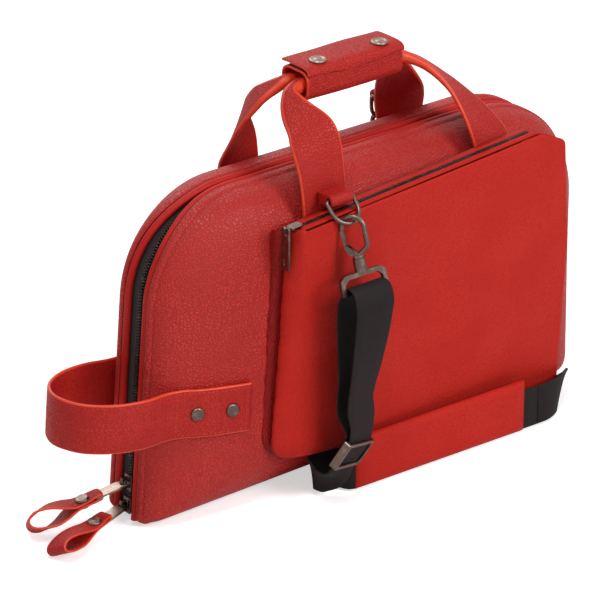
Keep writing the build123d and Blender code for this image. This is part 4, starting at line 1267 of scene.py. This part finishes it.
    def dress(self) -> None:
        """Builds the handles, wrap, flap and snaps, with a line of stitches at each leg."""
        for side, body, tag in ((-1, FRONT, "front"), (1, BACK, "back")):
            strap = self.strap(side)
            hide = strap.build(f"{tag}_handle_hide", Finish.STRAP, Finish.EDGE)
            displace(hide, lambda point, normal: 0.22 * ripple(point, 16, 2.0) * smoothstep(255, 285, point.z))
            carried(hide, body, LEATHER, f"{tag}_handle")
            total = strap.frames()[-1].run
            paths = []
            for start, end in ((4.0, 42.0), (total - 40.0, total - 4.0)):
                for offset in (-19.0, 19.0):
                    paths.append(strap.line(offset, self.outer_face(strap, side), start, end, 0.05))
            row = Row(f"{tag}_leg_stitches", RowShape.STITCH, (2.6, 0.62, 0.5), 3.8, Finish.THREAD)
            carried(row.build(paths), body, LEATHER)
        carried(self.wrap(), FRONT, LEATHER, "grip_wrap")
        carried(self.flap(), "grip_flap", LEATHER, "grip_flap")
        spots = [(Vector((x, y, self.flap_z + 2.5 + 0.55)), Vector((0, 0, 1))) for x, y in self.snaps]
        carried(caps_piece("grip_snap_caps", spots, 7.5, 2.3, Finish.BRIGHT, 0.35), "grip_flap", NICKEL, "snap_caps")
        refinished("snap_studs", Finish.METAL, "grip_snap_studs", 0.3, FRONT, NICKEL)

    def outer_face(self, strap: Strap, side: int) -> int:
        """Which face of the strap looks away from the case at its first leg."""
        return 1 if strap.frames()[2].face.y * side > 0 else -1


@dataclass
class EndHandle:
    """The big loop on the left end: a painted strap, sewn and riveted on both half shells."""

    width: float = 44.0
    thickness: float = 3.0
    height: float = 108.0
    patch: tuple[float, float] = (82.0, 23.0)
    rivets: tuple[float, float] = (35.0, 65.0)
    round_left: float = 130.0
    lift: float = 0.9
    loop: tuple[tuple[float, float], ...] = ((-6, 40.5), (16, 43), (44, 38), (66, 23), (74.5, 0))

    def over_shell(self, inset: float, rise: float) -> tuple[float, float]:
        """A point over the shell at a distance in from the wall: out of the wall, and forwards."""
        angle = math.acos(1 - inset / self.round_left)
        normal = Vector((OUTLINE.depth * math.cos(angle), self.round_left * math.sin(angle))).normalized() * rise
        return normal.x - inset, OUTLINE.rim_y + OUTLINE.depth * math.sin(angle) + normal.y

    def strap(self) -> Strap:
        """The handle's route in the wall's frame."""
        place = OUTLINE.wall_frame(self.height)
        middle = self.lift + self.thickness / 2
        line = [self.over_shell(self.patch[0] + (self.patch[1] - self.patch[0]) * i / 5, middle) for i in range(6)]
        line += list(self.loop)
        line += [(u, -v) for u, v in reversed(line[:-1])]
        up = tuple(place.to_3x3() @ Vector((0, 0, 1)))
        return Strap([(tuple(place @ Vector((u, v, 0))), up) for u, v in line], self.width, self.thickness, 6)

    def dress(self) -> None:
        """Builds the loop, its stitches and its rivets."""
        strap = self.strap()
        handle = strap.build("end_handle_hide", Finish.STRAP, Finish.EDGE)
        displace(handle, lambda point, normal: 0.2 * ripple(point, 18, 5.0))
        bridged(handle, LEATHER, 15.0, "end_handle")
        frames = strap.frames()
        outward = 1 if frames[0].face.y < 0 else -1
        total = frames[-1].run
        half = self.width / 2 - 3.6
        for body, tag, start, end in ((FRONT, "front", 3.6, 66.0), (BACK, "back", total - 66.0, total - 3.6)):
            paths = [strap.line(offset, outward, start, end, 0.05) for offset in (-half, half)]
            paths += [self.across_line(strap, outward, at, half) for at in (start, end)]
            row = Row(f"{tag}_patch_stitches", RowShape.STITCH, (2.7, 0.66, 0.55), 3.9, Finish.THREAD)
            carried(row.build(paths), body, LEATHER)
        centre = Row("loop_stitches", RowShape.STITCH, (2.7, 0.66, 0.55), 3.9, Finish.THREAD)
        bridged(centre.build([strap.line(0.0, outward, 70.0, total - 70.0, 0.05)]), LEATHER, 15.0)
        place = OUTLINE.wall_frame(self.height)
        for side, body, tag in ((1, FRONT, "front"), (-1, BACK, "back")):
            spots = []
            for inset in self.rivets:
                foot = self.over_shell(inset, self.lift + self.thickness - 0.1)
                top = self.over_shell(inset, self.lift + self.thickness + 1)
                here, there = (place @ Vector((p[0], side * p[1], 0)) for p in (foot, top))
                spots.append((here, there - here))
            caps = caps_piece(f"{tag}_rivet_caps", spots, 6.0, 2.2, Finish.METAL, 0.1)
            carried(caps, body, NICKEL, f"{tag}_rivets")

    def across_line(self, strap: Strap, side: int, at: float, half: float) -> tuple[list[Vector], list[Vector]]:
        """A straight line of stitches across the strap at a distance along it."""
        place = min(strap.frames(), key=lambda f: abs(f.run - at))
        up = place.face * side
        points = [place.centre + place.across * u + up * (place.thickness / 2 + 0.05) for u in (-half, 0.0, half)]
        return points, [up] * 3


@dataclass
class FrontPocket:
    """The big gusseted pocket: a smooth panel, puffed sides that crease at the left, and a zip along its top."""

    tilt: float = 0.045
    panel_y: float = -72.0
    ref_z: float = 35.0
    panel: tuple[tuple[float, float], ...] = ((-110, 257), (-79, 46), (184, 22), (186, 160), (175, 263), (148, 276))
    panel_radii: tuple[float, ...] = (3, 16, 10, 60, 8, 4)
    base: tuple[tuple[float, float], ...] = ((-118, 246), (-133, 52), (187, 30), (190, 150), (186, 235), (150, 246))
    base_radii: tuple[float, ...] = (3, 26, 16, 60, 12, 6)
    arc_steps: tuple[int, ...] = (4, 14, 12, 18, 6, 4)
    edge_steps: tuple[int, ...] = (44, 56, 24, 20, 8, 60)
    wall: float = 1.9
    crown: float = 1.0
    zip_y: float = -71.0
    pitch: float = 2.4
    set_in: float = 5.5
    shell_share: float = 0.43
    # rings nearest the shell that take the dimmer gusset copy, as painted shade
    shaded_gusset_rings: int = 9
    binding: tuple[tuple[float, float], ...] = ((2.4, -0.5), (2.4, 0.35), (3.0, 0.8), (8.8, 0.8), (8.8, -0.5))

    def front_y(self, z: float) -> float:
        """Y of the panel's outer face at a height."""
        return self.panel_y - self.tilt * (z - self.ref_z)

    def tuck(self, share: float) -> tuple[float, float, float]:
        """The left gusset's set-in, its tuck behind the roll and its turn onto the panel, at a share of its depth."""
        free = max(0.0, (share - self.shell_share) / (1 - self.shell_share))
        over = min(max(0.0, (free - 0.3) / 0.7), 1.0)
        return smoothstep(0.0, 0.3, free), math.sin(math.pi * min(free / 0.36, 1.0)), 1 - math.sqrt(1 - over**2)

    def side_ring(self, share: float) -> list[Vector]:
        """The pocket's outline at a share of the way from the shell to the panel, with its puff and folds.

        Args:
            share: 0 at the shell, 1 at the panel.

        Returns:
            The points.
        """
        corners = [(b[0] + (p[0] - b[0]) * share, b[1] + (p[1] - b[1]) * share)
                   for b, p in zip(self.base, self.panel)]
        # at the left the hide first tucks in behind a soft roll, and then turns over onto the panel
        inset, tuck, turn = self.tuck(share)
        for place, inward in ((0, 11.0), (1, 14.0)):
            (base_x, base_z), (panel_x, panel_z) = self.base[place], self.panel[place]
            roll_x = base_x + self.set_in * inset
            x = roll_x + inward * tuck + (panel_x - roll_x) * turn
            corners[place] = (x, base_z + (panel_z - base_z) * share)
        radii = [b + (p - b) * share for b, p in zip(self.base_radii, self.panel_radii)]
        ring = rounded_ring(corners, radii, self.arc_steps, self.edge_steps)
        middle = Vector((30, 150))
        puff = math.sin(math.pi * min(max(share, 0), 1))
        made = []
        for x, z in ring:
            back, out = -42.0, Vector((x, z)) - middle
            y = back + (self.front_y(z) - back) * share
            left = smoothstep(-60, -100, x)
            under = smoothstep(70, 35, z)
            top = smoothstep(236, 246, z)
            # the gusset bulges, and its loose hide folds where the left side turns under
            bulge = puff * (1.2 - 0.4 * left + 1.6 * under) * (1 - top)
            fold = left * (1 - top) * math.sin(2 * math.pi * (share * 1.6 + 0.15 * math.sin(z / 31.0))) * 0.6 * puff
            roll = 2.2 * left * under * math.exp(-((share - 0.42) / 0.2) ** 2)
            creases = (0.7 + 0.7 * left) * puff * (1 - top) * ripple(Vector((x * 0.6, y, z)), 9, 6.0)
            push = out.normalized() * (bulge + fold + roll + creases)
            made.append(Vector((x + push.x, y, z + push.y)))
        return made

    def skin(self) -> bpy.types.Object:
        """The gusset and panel as one hide, open along the zip."""
        free = [self.shell_share + (1 - self.shell_share) * i / 20 for i in range(18)]
        shares = [0.0, 0.2, 0.36, *free, 0.95, 0.97, 0.99]
        rings = [self.side_ring(share) for share in shares]
        count = len(rings[0])
        ring = rounded_ring(self.panel, self.panel_radii, self.arc_steps, self.edge_steps)
        centre = Vector((sum(p[0] for p in ring) / count, sum(p[1] for p in ring) / count))

        def panel_ring(inset: float, back: float) -> list[Vector]:
            made = []
            for x, z in ring:
                spot = Vector((x, z))
                spot += (centre - spot).normalized() * inset
                sewn = 1 - smoothstep(-55, -76, spot.x)
                made.append(Vector((spot.x, self.front_y(spot.y) + back * sewn, spot.y)))
            return made
        rings += [panel_ring(0.0, 1.5), panel_ring(0.35, 0.75), panel_ring(1.0, 0.25), panel_ring(2.0, 0.0),
                  panel_ring(3.4, 0.0), panel_ring(4.6, 0.12), panel_ring(5.4, 0.12), panel_ring(7.0, 0.0)]
        inner = panel_ring(7.0, 0.0)
        shares_in = [0.93, 0.86, 0.79, 0.72, 0.65, 0.58, 0.5, 0.42, 0.34, 0.26, 0.18, 0.1, 0.04]
        for share in shares_in:
            made = []
            for point in inner:
                x, z = centre.x + (point.x - centre.x) * share, centre.y + (point.z - centre.y) * share
                swell = self.crown * (1 - share**2)
                sag = 0.8 * ripple(Vector((x, 0, z)), 55, 12.0) + 0.35 * ripple(Vector((x * 0.4, 3, z)), 24, 2.0)
                give = 1.0 * math.exp(-((x + 67) ** 2 + (z - 248) ** 2) / 28**2)     # room behind the D-ring
                made.append(Vector((x, self.front_y(z) - swell - sag * (1 - share) + give, z)))
            rings.append(made)
        vertices = [p for r in rings for p in r]
        top_from = count - self.edge_steps[5]

        def is_open(r: int, i: int) -> bool:
            return r < len(shares) + 1 and i >= top_from
        faces: list[tuple[int, ...]] = list(skin_faces(len(rings), count, True, leave_out=is_open))
        hub = len(vertices)
        vertices.append(Vector((centre.x, self.front_y(centre.y) - self.crown, centre.y)))
        last = (len(rings) - 1) * count
        faces += [(last + i, hub, last + (i + 1) % count) for i in range(count)]
        # faces in the rings nearest the shell take the dimmer gusset copy of the leather: painted shade
        picks = [1 if max(face) < self.shaded_gusset_rings * count else 0 for face in faces]
        skin = new_piece("pocket_hide", vertices, faces, [Finish.POCKET, Finish.GUSSET], picks)
        self.drop_loose(skin)
        solidify(skin, self.wall, even=False)
        return skin

    def drop_loose(self, piece: bpy.types.Object) -> None:
        """Removes points that no face uses."""
        shape = bmesh.new()
        shape.from_mesh(piece.data)
        bmesh.ops.delete(shape, geom=[v for v in shape.verts if not v.link_faces], context="VERTS")
        shape.to_mesh(piece.data)
        shape.free()

    def bindings(self, start: Vector, way: Vector, up: Vector, length: float) -> bpy.types.Object:
        """The turned leather edges that lie on the zip tape and leave only its teeth open.

        Args:
            start: the zip's left end.
            way: direction along the zip.
            up: direction out of the tape.
            length: the zip's length.

        Returns:
            Both bindings as one piece.
        """
        steps, count = 60, len(self.binding)
        vertices, faces = [], []
        for side in (-1, 1):
            first = len(vertices)
            for i in range(steps + 1):
                run = 2.5 + (length - 5.0) * i / steps
                sway = 0.25 * ripple(Vector((run, side * 9.0, 0)), 26, 3.0)
                vertices += [start + way * run + up * high + Vector((0, side * (out + sway * (out < 4)), 0))
                             for out, high in self.binding]
            faces += [tuple(first + v for v in face) for face in skin_faces(steps + 1, count, side > 0)]
            ends = [tuple(first + row * count + i for i in range(count)) for row in (0, steps)]
            faces += ends
        return close_outwards(new_piece("pocket_zip_binding", vertices, faces, [Finish.POCKET]))

    def dress(self) -> None:
        """Builds the pocket's hide, its zip teeth, slider and pull."""
        skin = self.skin()
        carried(skin, FRONT, LEATHER, "pocket_gusset", "pocket_panel")
        start, end = Vector((-110, self.zip_y, 257)), Vector((148, self.zip_y, 276))
        way = (end - start).normalized()
        up = Vector((-way.z, 0, way.x))
        teeth = Row("pocket_zip_teeth", RowShape.TOOTH, (1.15, 4.2, 1.5), self.pitch, Finish.TEETH, wander=0.03)
        line = [start + way * d + up * 0.2 for d in (6.0, 90.0, 170.0, (end - start).length - 6.0)]
        carried(teeth.build([(line, [up] * 4)]), FRONT, CHAIN, "pocket_zip_coil")
        dress_node("pocket_zip_tape", Finish.TAPE)
        carried(self.bindings(start, way, up, (end - start).length), FRONT, LEATHER)
        refinished("pocket_slider", Finish.METAL, "pocket_slider_cast", 0.4, "pocket_slider", NICKEL)
        refinished("pocket_pull", Finish.METAL, "pocket_pull_stamping", 0.35, "pocket_pull", NICKEL)


@dataclass
class Hardware:
    """Rings, swivel trigger hooks and the sliding buckle, all dark nickel, and the tabs that hold the rings."""

    def dress(self) -> None:
        """Rounds and finishes each casting."""
        for tag, half in (("front", FRONT), ("back", BACK)):
            refinished(f"{tag}_ring_tab", Finish.STRAP, f"{tag}_ring_tab_hide", 0.7, half, LEATHER)
            for node, name, bevel, body in (("ring", "ring_wire", 0.0, f"{tag}_ring"),
                                            ("hook_eye", "hook_eye_cast", 0.9, half),
                                            ("hook", "hook_cast", 0.4, f"{tag}_hook"),
                                            ("hook_gate", "gate_cast", 0.3, f"{tag}_gate")):
                refinished(f"{tag}_{node}", Finish.METAL, f"{tag}_{name}", bevel, body, NICKEL)
        refinished("strap_buckle", Finish.METAL, "strap_buckle_cast", 0.7, "strap_buckle", NICKEL)


@dataclass
class ShoulderSling:
    """The webbing sling that hangs from both hooks, with its leather pad standing against the pocket."""

    width: float = 38.0
    thickness: float = 1.8
    buckle_at: tuple[float, float, float] = (-70.3, -97.8, 48.6)
    buckle_x: tuple[float, float, float] = (0.88, 0.335, -0.333)
    buckle_z: tuple[float, float, float] = (0.22, -0.88, -0.42)
    eye_drop: float = 55.5
    pad_left: tuple[float, float, float] = (-52.2, -79.6, 0.0)
    pad_way: tuple[float, float, float] = (184.0, -8.0, 0.0)
    pad_length: float = 184.0
    pad_height: float = 50.0
    pad_thickness: float = 9.0
    travel: float = 16.0
    fold: float = 4.3

    def buckle(self, y: float, z: float = 0.0) -> Vector:
        """A point on the buckle's centre line."""
        face = Vector(self.buckle_z).normalized()
        side = Vector(self.buckle_x)
        side = (side - face * side.dot(face)).normalized()
        return Vector(self.buckle_at) + face.cross(side) * y + face * z

    def pad_point(self, distance: float, z: float = 20.2) -> Vector:
        """A point on the pad's centre plane at a distance from its left end."""
        spot = Vector(self.pad_left) + Vector(self.pad_way).normalized() * distance
        return Vector((spot.x, spot.y, z))

    def eyes(self) -> tuple[Vector, Vector]:
        """The webbing bars of the front and back hooks."""
        front = Vector((-67.0, -91.0, 256.8)) + Vector((0, -0.317, -0.948)).normalized() * self.eye_drop
        return front, Vector((102.0, 71.8, 254.2 - self.eye_drop))

    def webbing(self, name: str, stations: Sequence[Station], steps: int = 7) -> bpy.types.Object:
        """A length of webbing with woven edges."""
        return Strap(stations, self.width, self.thickness, steps).build(name, Finish.WEBBING, Finish.WEBBING)

    def loop(self) -> list[Station]:
        """The adjusting loop: from the buckle's back up to the front hook and down again through the buckle."""
        side, (eye, _) = self.buckle_x, self.eyes()
        return [
            (tuple(self.buckle(3.2, -3.9)), side), (tuple(self.buckle(17, -6.5)), side),
            ((-67, -91.5, 90), (0.95, 0.26, 0)), ((-67, -95.5, 125), (0.98, 0.15, 0)),
            ((-67, -96.8, 160), (1, 0, 0)), ((eye.x, -97, eye.z - 18), (1, 0, 0)),
            ((eye.x, eye.y + 6.5, eye.z - 3), (1, 0, 0)), ((eye.x, eye.y, eye.z + 4.2), (1, 0, 0)),
            ((eye.x, eye.y - 9, eye.z + 3), (1, -0.05, 0)), ((eye.x, -122.5, 196), (1, -0.05, 0)),
            ((-67, -121.5, 182), (1, 0, 0)), ((-67, -118.5, 163), (1, 0.05, 0)),
            ((-67, -112, 131), (0.98, 0.18, 0)), ((-67, -104.6, 98.5), (0.95, 0.3, -0.05)),
            ((-63.4, -102.8, 78), (0.92, 0.34, -0.17)),
            *[(tuple(self.buckle(y)), side) for y in (10, -6, -14)]]

    def lead(self) -> list[Station]:
        """From the buckle round a turn and in through the pad."""
        return [
            (tuple(self.buckle(-14.6)), self.buckle_x), ((-80.5, -90.5, 28.3), (0.84, 0.25, -0.48)),
            ((-84.8, -81.5, 22.5), (0.66, 0.1, -0.75)), ((-87.5, -71.5, 21), (0.4, 0, -0.92)),
            ((-84, -61.5, 21.5), (0.15, 0, -0.99)), ((-75, -57.5, 21.5), (0, 0, -1)),
            ((-66.5, -62, 21.3), (0, 0, -1)), ((-62.5, -71, 20.8), (0, 0, -1)),
            (tuple(self.pad_point(-3.6)), (0, 0, -1)), (tuple(self.pad_point(12)), (0, 0, -1)),
            (tuple(self.pad_point(self.pad_length / 2)), (0, 0, -1)),
            (tuple(self.pad_point(self.pad_length + self.travel)), (0, 0, -1))]

    def tail(self) -> list[Station]:
        """From the pad's end under the case and up the back to the back hook."""
        _, eye = self.eyes()
        fold = self.fold
        return [
            (tuple(self.pad_point(self.pad_length + self.travel + 0.6)), (0, 0, 1)),
            ((160, -88.6, 20.3), (0.02, 0, 1)), ((174, -85, 20), (0.15, 0, 1)),
            ((187, -76, 18.5), (0.38, 0.1, 0.9)), ((195, -61, 12.5), (0.75, 0.1, 0.6)),
            ((196, -44, 6.0), (0.96, 0, 0.22)), ((192, -28, 1.7), (1, 0, 0.02)),
            ((190, -12, 1.3), (1, 0, 0)), ((190, 0, 1.3), (1, 0, 0)), ((190, 14, 1.3), (1, 0, 0)),
            ((190, 28, 2.2), (1, 0, 0)), ((188, 41, 6.5), (0.99, 0.1, 0.1)), ((185, 52, 18), (0.97, 0.1, 0.2)),
            ((178, 60, 38), (0.94, 0, 0.34)), ((164, 62.5, 68), (0.91, 0, 0.42)),
            ((142, 63, 112), (0.91, 0, 0.42)), ((118, 66, 156), (0.95, 0, 0.3)),
            ((104, eye.y + fold, eye.z - 12), (1, 0, 0.05)), ((eye.x, eye.y + fold, eye.z), (1, 0, 0)),
            ((eye.x, eye.y, eye.z + fold), (1, 0, 0)), ((eye.x, eye.y - fold, eye.z), (1, 0, 0)),
            ((eye.x, eye.y - fold, eye.z - 24), (1, 0, 0))]

    def pad(self) -> bpy.types.Object:
        """The shoulder pad: hide over foam, sewn along both edges, dark suede behind."""
        along, up = Vector(self.pad_way).normalized(), Vector((0, 0, 1))
        out = Vector((along.y, -along.x, 0))
        columns, rows = 60, 22
        vertices, marks = [], []
        for i in range(columns + 1):
            share = i / columns
            d = self.pad_length * share
            for j in range(2 * rows):
                k = j / rows
                front = k < 1
                v = k if front else 2 - k
                z = self.pad_height * v
                end = min(share, 1 - share) * self.pad_length
                edge = min(v, 1 - v) * self.pad_height
                round_off = min(end, edge)
                thin = 0.42 + 0.58 * smoothstep(0.0, 7.0, round_off)
                channel = 0.5 * math.exp(-((edge - 3.6) / 0.8) ** 2) + 0.5 * math.exp(-((end - 3.6) / 0.8) ** 2)
                half = self.pad_thickness / 2 * thin - channel * 0.7
                lump = 0.35 * ripple(Vector((d, 0, z)), 22, 8.0 if front else 3.0)
                side = 1 if front else -1
                depth = side * (half + lump * smoothstep(2, 9, round_off))
                if j in (0, rows):
                    depth = 0.0
                vertices.append(self.pad_point(d, z) + out * depth)
                marks.append(0 if front else 1)
        count = 2 * rows
        faces: list[tuple[int, ...]] = list(skin_faces(columns + 1, count, False))
        picks = [0 if (k % count) < rows else 1 for k in range(len(faces))]
        first_cap, last_cap = tuple(range(count)), tuple(range(columns * count + count - 1, columns * count - 1, -1))
        faces += [first_cap, last_cap]
        picks += [0, 0]
        return close_outwards(new_piece("shoulder_pad_hide", vertices, faces, [Finish.POCKET, Finish.BACKING], picks))

    def dress(self) -> None:
        """Builds the webbing and the pad."""
        carried(self.webbing("sling_loop_webbing", self.loop()), FRONT, WEB, "strap_loop")
        carried(self.webbing("sling_lead_webbing", self.lead()), FRONT, WEB, "strap_lead", "strap_run")
        bridged(self.webbing("sling_tail_webbing", self.tail()), WEB, 20.0, "strap_tail", "strap_back")
        pad = self.pad()
        carried(pad, "shoulder_pad", LEATHER, "shoulder_pad")


@dataclass
class Base:
    """The folding hide along the base that hinges both halves, and the wear strip under it."""

    half: float = 15.7
    reach: float = 229.0
    z: float = 2.6

    def dress(self) -> None:
        """Builds the hinge strip and the wear strip."""
        steps = 16
        columns = 60
        vertices = []
        for i in range(steps + 1):
            y = -self.half + 2 * self.half * i / steps
            lift = self.z + 1.0 + 0.25 * math.cos(math.pi * y / self.half)
            vertices += [Vector((self.reach * (2 * k / columns - 1), y, lift)) for k in range(columns + 1)]
        faces = skin_faces(steps + 1, columns + 1, False, closed=False)
        strip = new_piece("base_hinge_hide", vertices, faces, [Finish.STRAP])
        solidify(strip, 1.7, 0.0)
        bridged(strip, LEATHER, 15.0, "hinge_strip")
        refinished("base_runner", Finish.STRAP, "base_runner_hide", 0.6, FRONT, LEATHER)


# ------------------------------------------------------------------------------------------------ stage
@dataclass
class Studio:
    """Pale floor, soft lamps, and the camera."""

    azimuth: float = -38.5
    elevation: float = 25.5
    distance: float = 2.89
    target: tuple[float, float, float] = (-0.0482, 0.0, 0.1476)
    lens: float = 204.0
    floor_glow: float = 0.56
    sky: float = 0.21
    lamps: tuple[tuple[str, tuple[float, float, float], float, float], ...] = (
        ("key_softbox", (0.7, -2.7, 1.9), 1.2, 54.0), ("top_softbox", (-1.0, -0.7, 2.9), 1.0, 34.0),
        ("back_softbox", (0.6, 2.4, 1.9), 1.6, 22.0))

    def camera(self) -> None:
        """Places the camera."""
        a, e = math.radians(self.azimuth), math.radians(self.elevation)
        back = Vector((math.sin(a) * math.cos(e), -math.cos(a) * math.cos(e), math.sin(e)))
        data = bpy.data.cameras.new("studio_camera")
        data.lens, data.sensor_width, data.clip_end = self.lens, 36.0, 50.0
        camera = bpy.data.objects.new("studio_camera", data)
        camera.location = Vector(self.target) + back * self.distance
        camera.rotation_euler = back.to_track_quat("Z", "Y").to_euler()
        bpy.context.scene.collection.objects.link(camera)
        bpy.context.scene.camera = camera

    def lamp(self, name: str, place: tuple[float, float, float], size: float, power: float) -> None:
        """A square soft lamp aimed at the case.

        Args:
            name: lamp name.
            place: where it hangs, in metres.
            size: side of the square.
            power: its watts.
        """
        data = bpy.data.lights.new(name, "AREA")
        data.energy, data.size, data.shape = power, size, "SQUARE"
        light = bpy.data.objects.new(name, data)
        light.location = place
        light.rotation_euler = (Vector(place) - Vector((0, 0, 0.15))).to_track_quat("Z", "Y").to_euler()
        bpy.context.scene.collection.objects.link(light)

    def world(self, diffuse: float) -> None:
        """White for the camera, for gloss and for glass, and a gentler white for everything it lights."""
        world = bpy.data.worlds.new("studio_world")
        bpy.context.scene.world = world
        world.use_nodes = True
        tree = world.node_tree
        glow = tree.nodes["Background"]
        path = add_node(tree, "ShaderNodeLightPath")
        clear = add_node(tree, "ShaderNodeMath", {"operation": "MAXIMUM"},
                         {0: path.outputs["Is Camera Ray"], 1: path.outputs["Is Transmission Ray"]})
        seen = add_node(tree, "ShaderNodeMath", {"operation": "MAXIMUM"},
                        {0: clear.outputs[0], 1: path.outputs["Is Glossy Ray"]})
        level = add_node(tree, "ShaderNodeMapRange", {"To Min": diffuse, "To Max": 1.0}, {"Value": seen.outputs[0]})
        glow.inputs["Color"].default_value = (1, 1, 1, 1)
        tree.links.new(level.outputs["Result"], glow.inputs["Strength"])

    def floor(self) -> None:
        """A pale matt floor that reads as white yet keeps the case's shadow."""
        mesh = bpy.data.meshes.new("studio_floor")
        reach, drop = 12.0, -0.0008
        corners = [(x * reach, y * reach, drop) for x, y in ((-1, -1), (1, -1), (1, 1), (-1, 1))]
        mesh.from_pydata(corners, [], [(0, 1, 2, 3)])
        floor = bpy.data.objects.new("studio_floor", mesh)
        bpy.context.scene.collection.objects.link(floor)
        material, tree, surface = blank_material("matt_paper_floor")
        surface.inputs["Roughness"].default_value = 0.9
        grain = add_node(tree, "ShaderNodeTexNoise", {"Scale": 40.0}, {"Vector": object_coords(tree)})
        two_tone(tree, surface, "f4f4f4", "fafafa", grain.outputs["Fac"])
        surface.inputs["Specular IOR Level"].default_value = 0.1
        path = add_node(tree, "ShaderNodeLightPath")
        boost = add_node(tree, "ShaderNodeMath", {"operation": "MULTIPLY", 1: self.floor_glow},
                         {0: path.outputs["Is Camera Ray"]})
        glow = add_node(tree, "ShaderNodeEmission", {"Color": (1, 1, 1, 1)}, {"Strength": boost.outputs[0]})
        both = add_node(tree, "ShaderNodeAddShader", links={0: surface.outputs["BSDF"], 1: glow.outputs["Emission"]})
        tree.links.new(both.outputs[0], tree.nodes["Material Output"].inputs["Surface"])
        mesh.materials.append(material)

    def build(self) -> None:
        """Sets the stage."""
        self.camera()
        self.floor()
        self.world(self.sky)
        for name, place, size, power in self.lamps:
            self.lamp(name, place, size, power)
        bpy.context.scene.view_settings.view_transform = "Standard"


def main() -> None:
    """Builds and dresses every part of the case, then the studio."""
    for part in (HalfShells(), Piping(), MainZip(), Base(), CarryHandles(), EndHandle(), FrontPocket(), Hardware(),
                 ShoulderSling()):
        log.info("building %s", type(part).__name__)
        part.dress()
    Studio().build()


if __name__ == "__main__":
    logging.basicConfig(level=logging.INFO, format="%(name)s: %(message)s")
    main()
